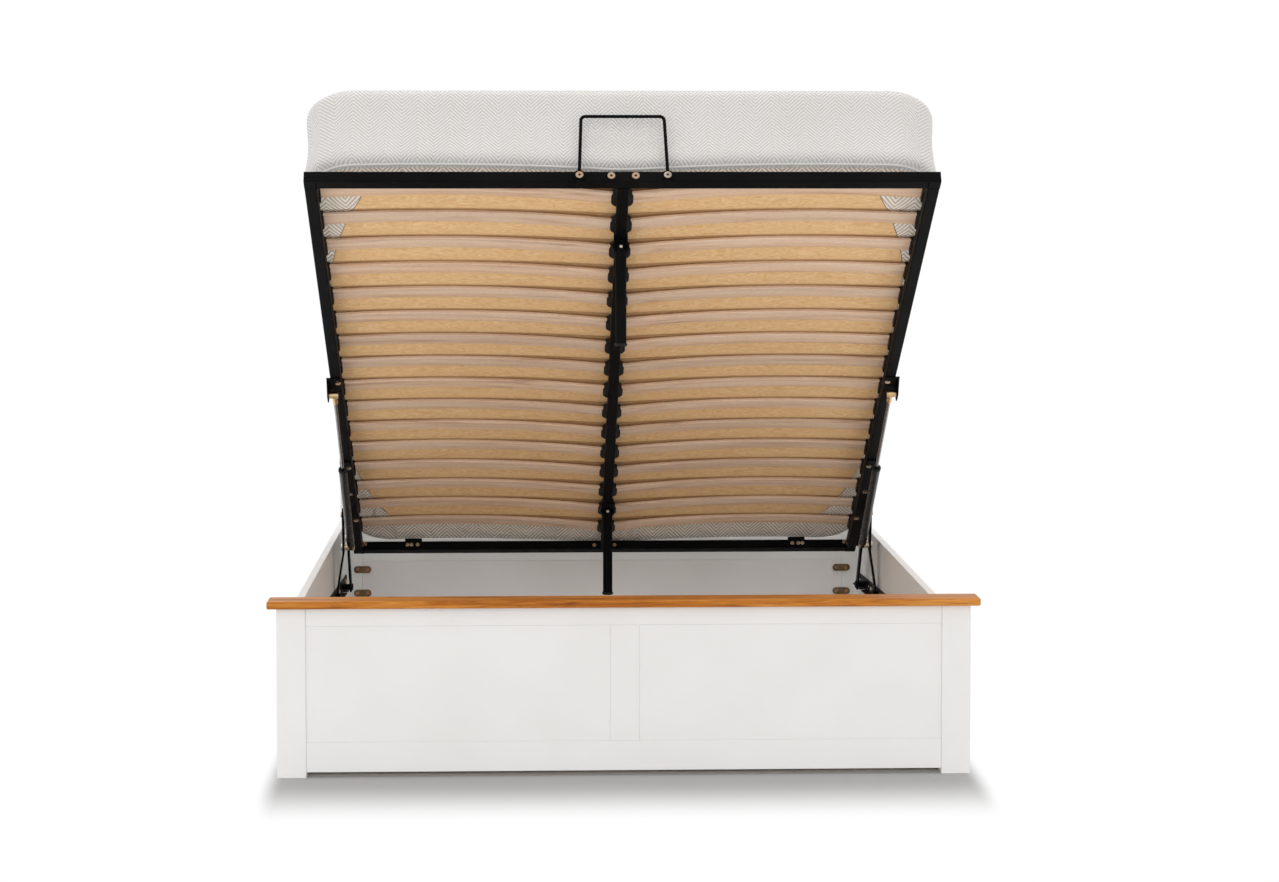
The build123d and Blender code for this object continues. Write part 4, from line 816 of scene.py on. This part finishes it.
# Places of the screws: reaches run along the base bracket from the front arm's pivot, inside is the side
# rails' inner face, and turn is how far each screw is turned on from the last one
plateScrews = {"x": 0.66, "apart": 0.014, "heights": (0.097, 0.162), "face": 0.9725,
               "radius": 0.0044, "rise": 0.0012, "recess": 0.0014, "turn": 0.7}
angleScrews = {"x": 0.6811, "heights": (0.038, 0.068), "face": 0.972,
               "radius": 0.0055, "rise": 0.0024, "recess": 0.0016, "turn": 0.9}
baseScrews = {"inside": 0.699, "reaches": (-0.1325, 0.13265, 0.4053),
              "radius": 0.0065, "rise": 0.003, "recess": 0.0018, "turn": 0.5}
legScrew = {"out": 0.0119, "radius": 0.0036, "rise": 0.0018, "recess": 0.001, "turn": 0.4}


def buildScrews():
    p = plateScrews
    x = [side * (p["x"] + out) for side in (-1, 1) for out in (-p["apart"], p["apart"])]
    places = [(across, p["face"], height) for across in x for height in p["heights"]]
    spread("mending_plate_screws", screwHead(p), places, (0, -1, 0),
           finishes["copper"], "bed_frame", np.arange(len(places)) * p["turn"])
    p = angleScrews
    corners = [(side * p["x"], end * p["face"]) for side in (-1, 1) for end in (-1, 1)]
    places = [(*corner, height) for corner in corners for height in p["heights"]]
    inward = [(0, -np.sign(place[1]), 0) for place in places]
    spread("corner_angle_screws", screwHead(p), places, inward,
           finishes["zinc"], "bed_frame", np.arange(len(places)) * p["turn"])
    p = baseScrews
    front, rear = (np.array(joints[name]["pos_m"]) for name in ("front_arm_hinge", "rear_arm_hinge"))
    along = (rear - front) / np.linalg.norm(rear - front)
    line = [front + along * reach for reach in p["reaches"]]
    places = [(side * p["inside"], place[1], place[2]) for side in (-1, 1) for place in line]
    inward = [(-np.sign(place[0]), 0, 0) for place in places]
    spread("base_bracket_screws", screwHead(p), places, inward,
           finishes["zinc"], "bed_frame", np.arange(len(places)) * p["turn"])
    p = legScrew
    for joint, body in (("head_leg_hinge", "head_end_leg"), ("foot_leg_hinge", "foot_end_leg")):
        place = np.array(joints[joint]["pos_m"]) - (0, p["out"], 0)
        spread(body + "_screw", screwHead(p), [place], (0, -1, 0),
               finishes["zinc"], body, p["turn"])


# Screws in the platform's tubes: across (or, at the corners, along) and up in the platform's directions
headTubeScrews = {"across": (-0.029, 0.024), "along": 0.025, "up": 0.0113,
                  "radius": 0.0052, "rise": 0.0022, "recess": 0.0012, "turns": (0.3, 1.1)}
sideTubeScrews = {"places": ((0.033, 0.019), (0.039, 0.0065)),
                  "radius": 0.0034, "rise": 0.00176, "recess": 0.00084}


def buildTubeScrews():
    # two screws in the head tube, one on each side of the centre rail, and two inside each side tube's corner
    p = headTubeScrews
    spread("head_tube_screws", screwHead(p), deckPlace(np.array(p["across"]), p["along"], p["up"]), footward,
           finishes["copper"], "platform", p["turns"])
    p = sideTubeScrews
    inside = deckSpan("head_tube")[1][0]
    places = np.array([deckPlace(side * inside, *place) for side in (-1, 1) for place in p["places"]])
    inward = [(-np.sign(place[0]), 0, 0) for place in places]
    spread("side_tube_screws", screwHead(p), places, inward, finishes["zinc"], "platform")


collar = {"mouth": 0.385, "low": -0.007, "high": 0.002, "radius": 0.0109, "bore": 0.0046, "edge": 0.0012,
          "spokes": 32}


def buildCollars():
    # a gland collar round the mouth of each gas strut, with both rims chamfered
    p = collar
    low, high, wide, bore, edge = (p[k] for k in ("low", "high", "radius", "bore", "edge"))
    ring = hoop(np.array([(bore, low), (wide - edge, low), (wide, low + edge), (wide, high - edge),
                          (wide - edge, high), (bore + edge, high), (bore, high - edge)]), p["spokes"])
    foot = np.array(joints["strut_hinge"]["pos_m"])
    axis = np.array(joints["strut_slide"]["axis"], float)
    axis *= np.sign(axis[2])
    spans = (deckSpan(name) for name in ("left_strut_cylinder", "right_strut_cylinder"))
    places = [[(least[0] + most[0]) / 2, *(foot + axis * p["mouth"])[1:]] for least, most in spans]
    spread("strut_collars", ring, places, axis, finishes["plastic"], "strut_cylinders")


weld = {"radius": 0.0016, "ripple": 0.22, "pitch": 0.0034, "points": 60, "sides": 8, "taper": 12, "thin": 0.3}


def buildWelds():
    # beads along the joints of the welded frame: radius * (1 + ripple * cos(2 pi * run / pitch)),
    # less at the ends
    w = weld
    headTube, rail = deckSpan("head_tube"), deckSpan("centre_rail")
    seam, railHalf, railEnd = headTube[1][0], rail[1][0], rail[1][1]
    near, far = headTube[0][1], headTube[1][1]  # far is also how wide the tubes are
    lines = [((side * seam, near, 0), (side * seam, far, 0)) for side in (-1, 1)]
    lines += [((side * seam, railEnd, 0), (side * seam, railEnd + far, 0)) for side in (-1, 1)]
    lines += [((-railHalf, place, 0), (railHalf, place, 0)) for place in (far, railEnd)]
    share = np.linspace(0, 1, w["points"])
    ends = np.clip(np.minimum(share, 1 - share) * w["taper"], w["thin"], 1)
    for number, (start, end) in enumerate(lines):
        path = np.array(start) * (1 - share[:, None]) + np.array(end) * share[:, None]
        run = share * np.linalg.norm(np.subtract(end, start))
        radius = w["radius"] * (1 + w["ripple"] * np.cos(2 * np.pi * run / w["pitch"])) * ends
        bead = tubeAlong(f"frame_weld_{number + 1}", deckPlace(*path.T), radius, w["sides"],
                         finishes["steel"], closed=False)
        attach(bead, "platform")


# A round floor. Past the bed's footprint (axis, half size, weight), from near to far, it fades into the
# white backdrop; seen and bounced are its tones to the camera and to the light. The darker seen tone near the
# footprint is painted shadow round the bed, added to the rendered shadow
floor = {"reach": 60.0, "rings": 40, "spokes": 72, "hub": 0.02, "level": -0.0002, "near": 0.04, "far": 0.42,
         "seen": 0.45, "bounced": 0.86, "footprint": ((0, 0.7, 8.0), (1, 1.03, 1.0))}


def studioFloor():
    # pale to the light and slightly gritty, seen darker near the bed as painted shadow round it, with an even
    # white glow past the bed where it is seen
    material, tree, shader = newMaterial("studioFloor", (0.86, 0.86, 0.86), 0.9, Specular_IOR_Level=0.1)
    axes = axesOf(tree, placeOf(tree))
    past = []
    for axis, half, weight in floor["footprint"]:
        beyond = mathOf(tree, "SUBTRACT", mathOf(tree, "ABSOLUTE", axes[axis]), half)
        past.append(mathOf(tree, "MULTIPLY", mathOf(tree, "MAXIMUM", beyond, 0.0), weight))
    away = mathOf(tree, "SQRT", mathOf(tree, "ADD", *(mathOf(tree, "MULTIPLY", p, p) for p in past)))
    # painted shadow: the floor's darker seen tone shows near the footprint and fades into white glow away
    # from it
    fade = tree.nodes.new("ShaderNodeMapRange")
    fade.interpolation_type = "SMOOTHSTEP"
    fade.inputs["From Min"].default_value = floor["near"]
    fade.inputs["From Max"].default_value = floor["far"]
    tree.links.new(away, fade.inputs["Value"])
    white = tree.nodes.new("ShaderNodeEmission")
    white.inputs["Color"].default_value = (1, 1, 1, 1)
    tree.links.new(seenPlainly(tree), white.inputs["Strength"])
    # the camera sees the darker tone, which is painted shadow; light bounces off the pale tone
    tone = rangeOf(tree, seenPlainly(tree), (0.0, 1.0), (floor["bounced"], floor["seen"]))
    grit = rangeOf(tree, noiseOf(tree, placeOf(tree), scale=260.0), (0.3, 0.7), (0.97, 1.03))
    tree.links.new(mathOf(tree, "MULTIPLY", tone, grit), shader.inputs["Base Color"])
    mixed = tree.nodes.new("ShaderNodeMixShader")
    tree.links.new(mathOf(tree, "MULTIPLY", fade.outputs[0], seenPlainly(tree)), mixed.inputs[0])
    tree.links.new(shader.outputs[0], mixed.inputs[1])
    tree.links.new(white.outputs[0], mixed.inputs[2])
    output = next(n for n in tree.nodes if n.type == "OUTPUT_MATERIAL")
    tree.links.new(mixed.outputs[0], output.inputs["Surface"])
    return material


def buildFloor():
    # rings at reach * share^3 from the middle, so they are close together near the bed, and a closed hub
    f = floor
    radius = f["reach"] * np.linspace(f["hub"], 1, f["rings"])[:, None] ** 3
    angle = np.linspace(0, 2 * np.pi, f["spokes"], endpoint=False)
    level = np.full((f["rings"], f["spokes"]), f["level"])
    points = np.stack([radius * np.cos(angle), radius * np.sin(angle), level], -1)
    disc = np.concatenate([points.reshape(-1, 3), [[0, 0, f["level"]]]])
    quads = quadGrid(f["rings"], f["spokes"], wrap=True)[:, ::-1]
    around = np.arange(f["spokes"])
    hub = np.stack([around, np.roll(around, -1), np.full(f["spokes"], len(disc) - 1)], -1)
    material = studioFloor()
    makePiece("studioFloor", disc, quads, [material], smooth=False, tris=hub)


setCamera()
setLamps()
setWorld()
buildFloor()
print("studio set")
paintCad()
print("CAD pieces painted")
finishes["piping"] = pipingTape()
buildMattress()
print("mattress made")
buildScrews()
buildTubeScrews()
buildCollars()
buildWelds()
print("screws, collars and welds made")
bpy.context.scene.view_settings.view_transform = "Standard"
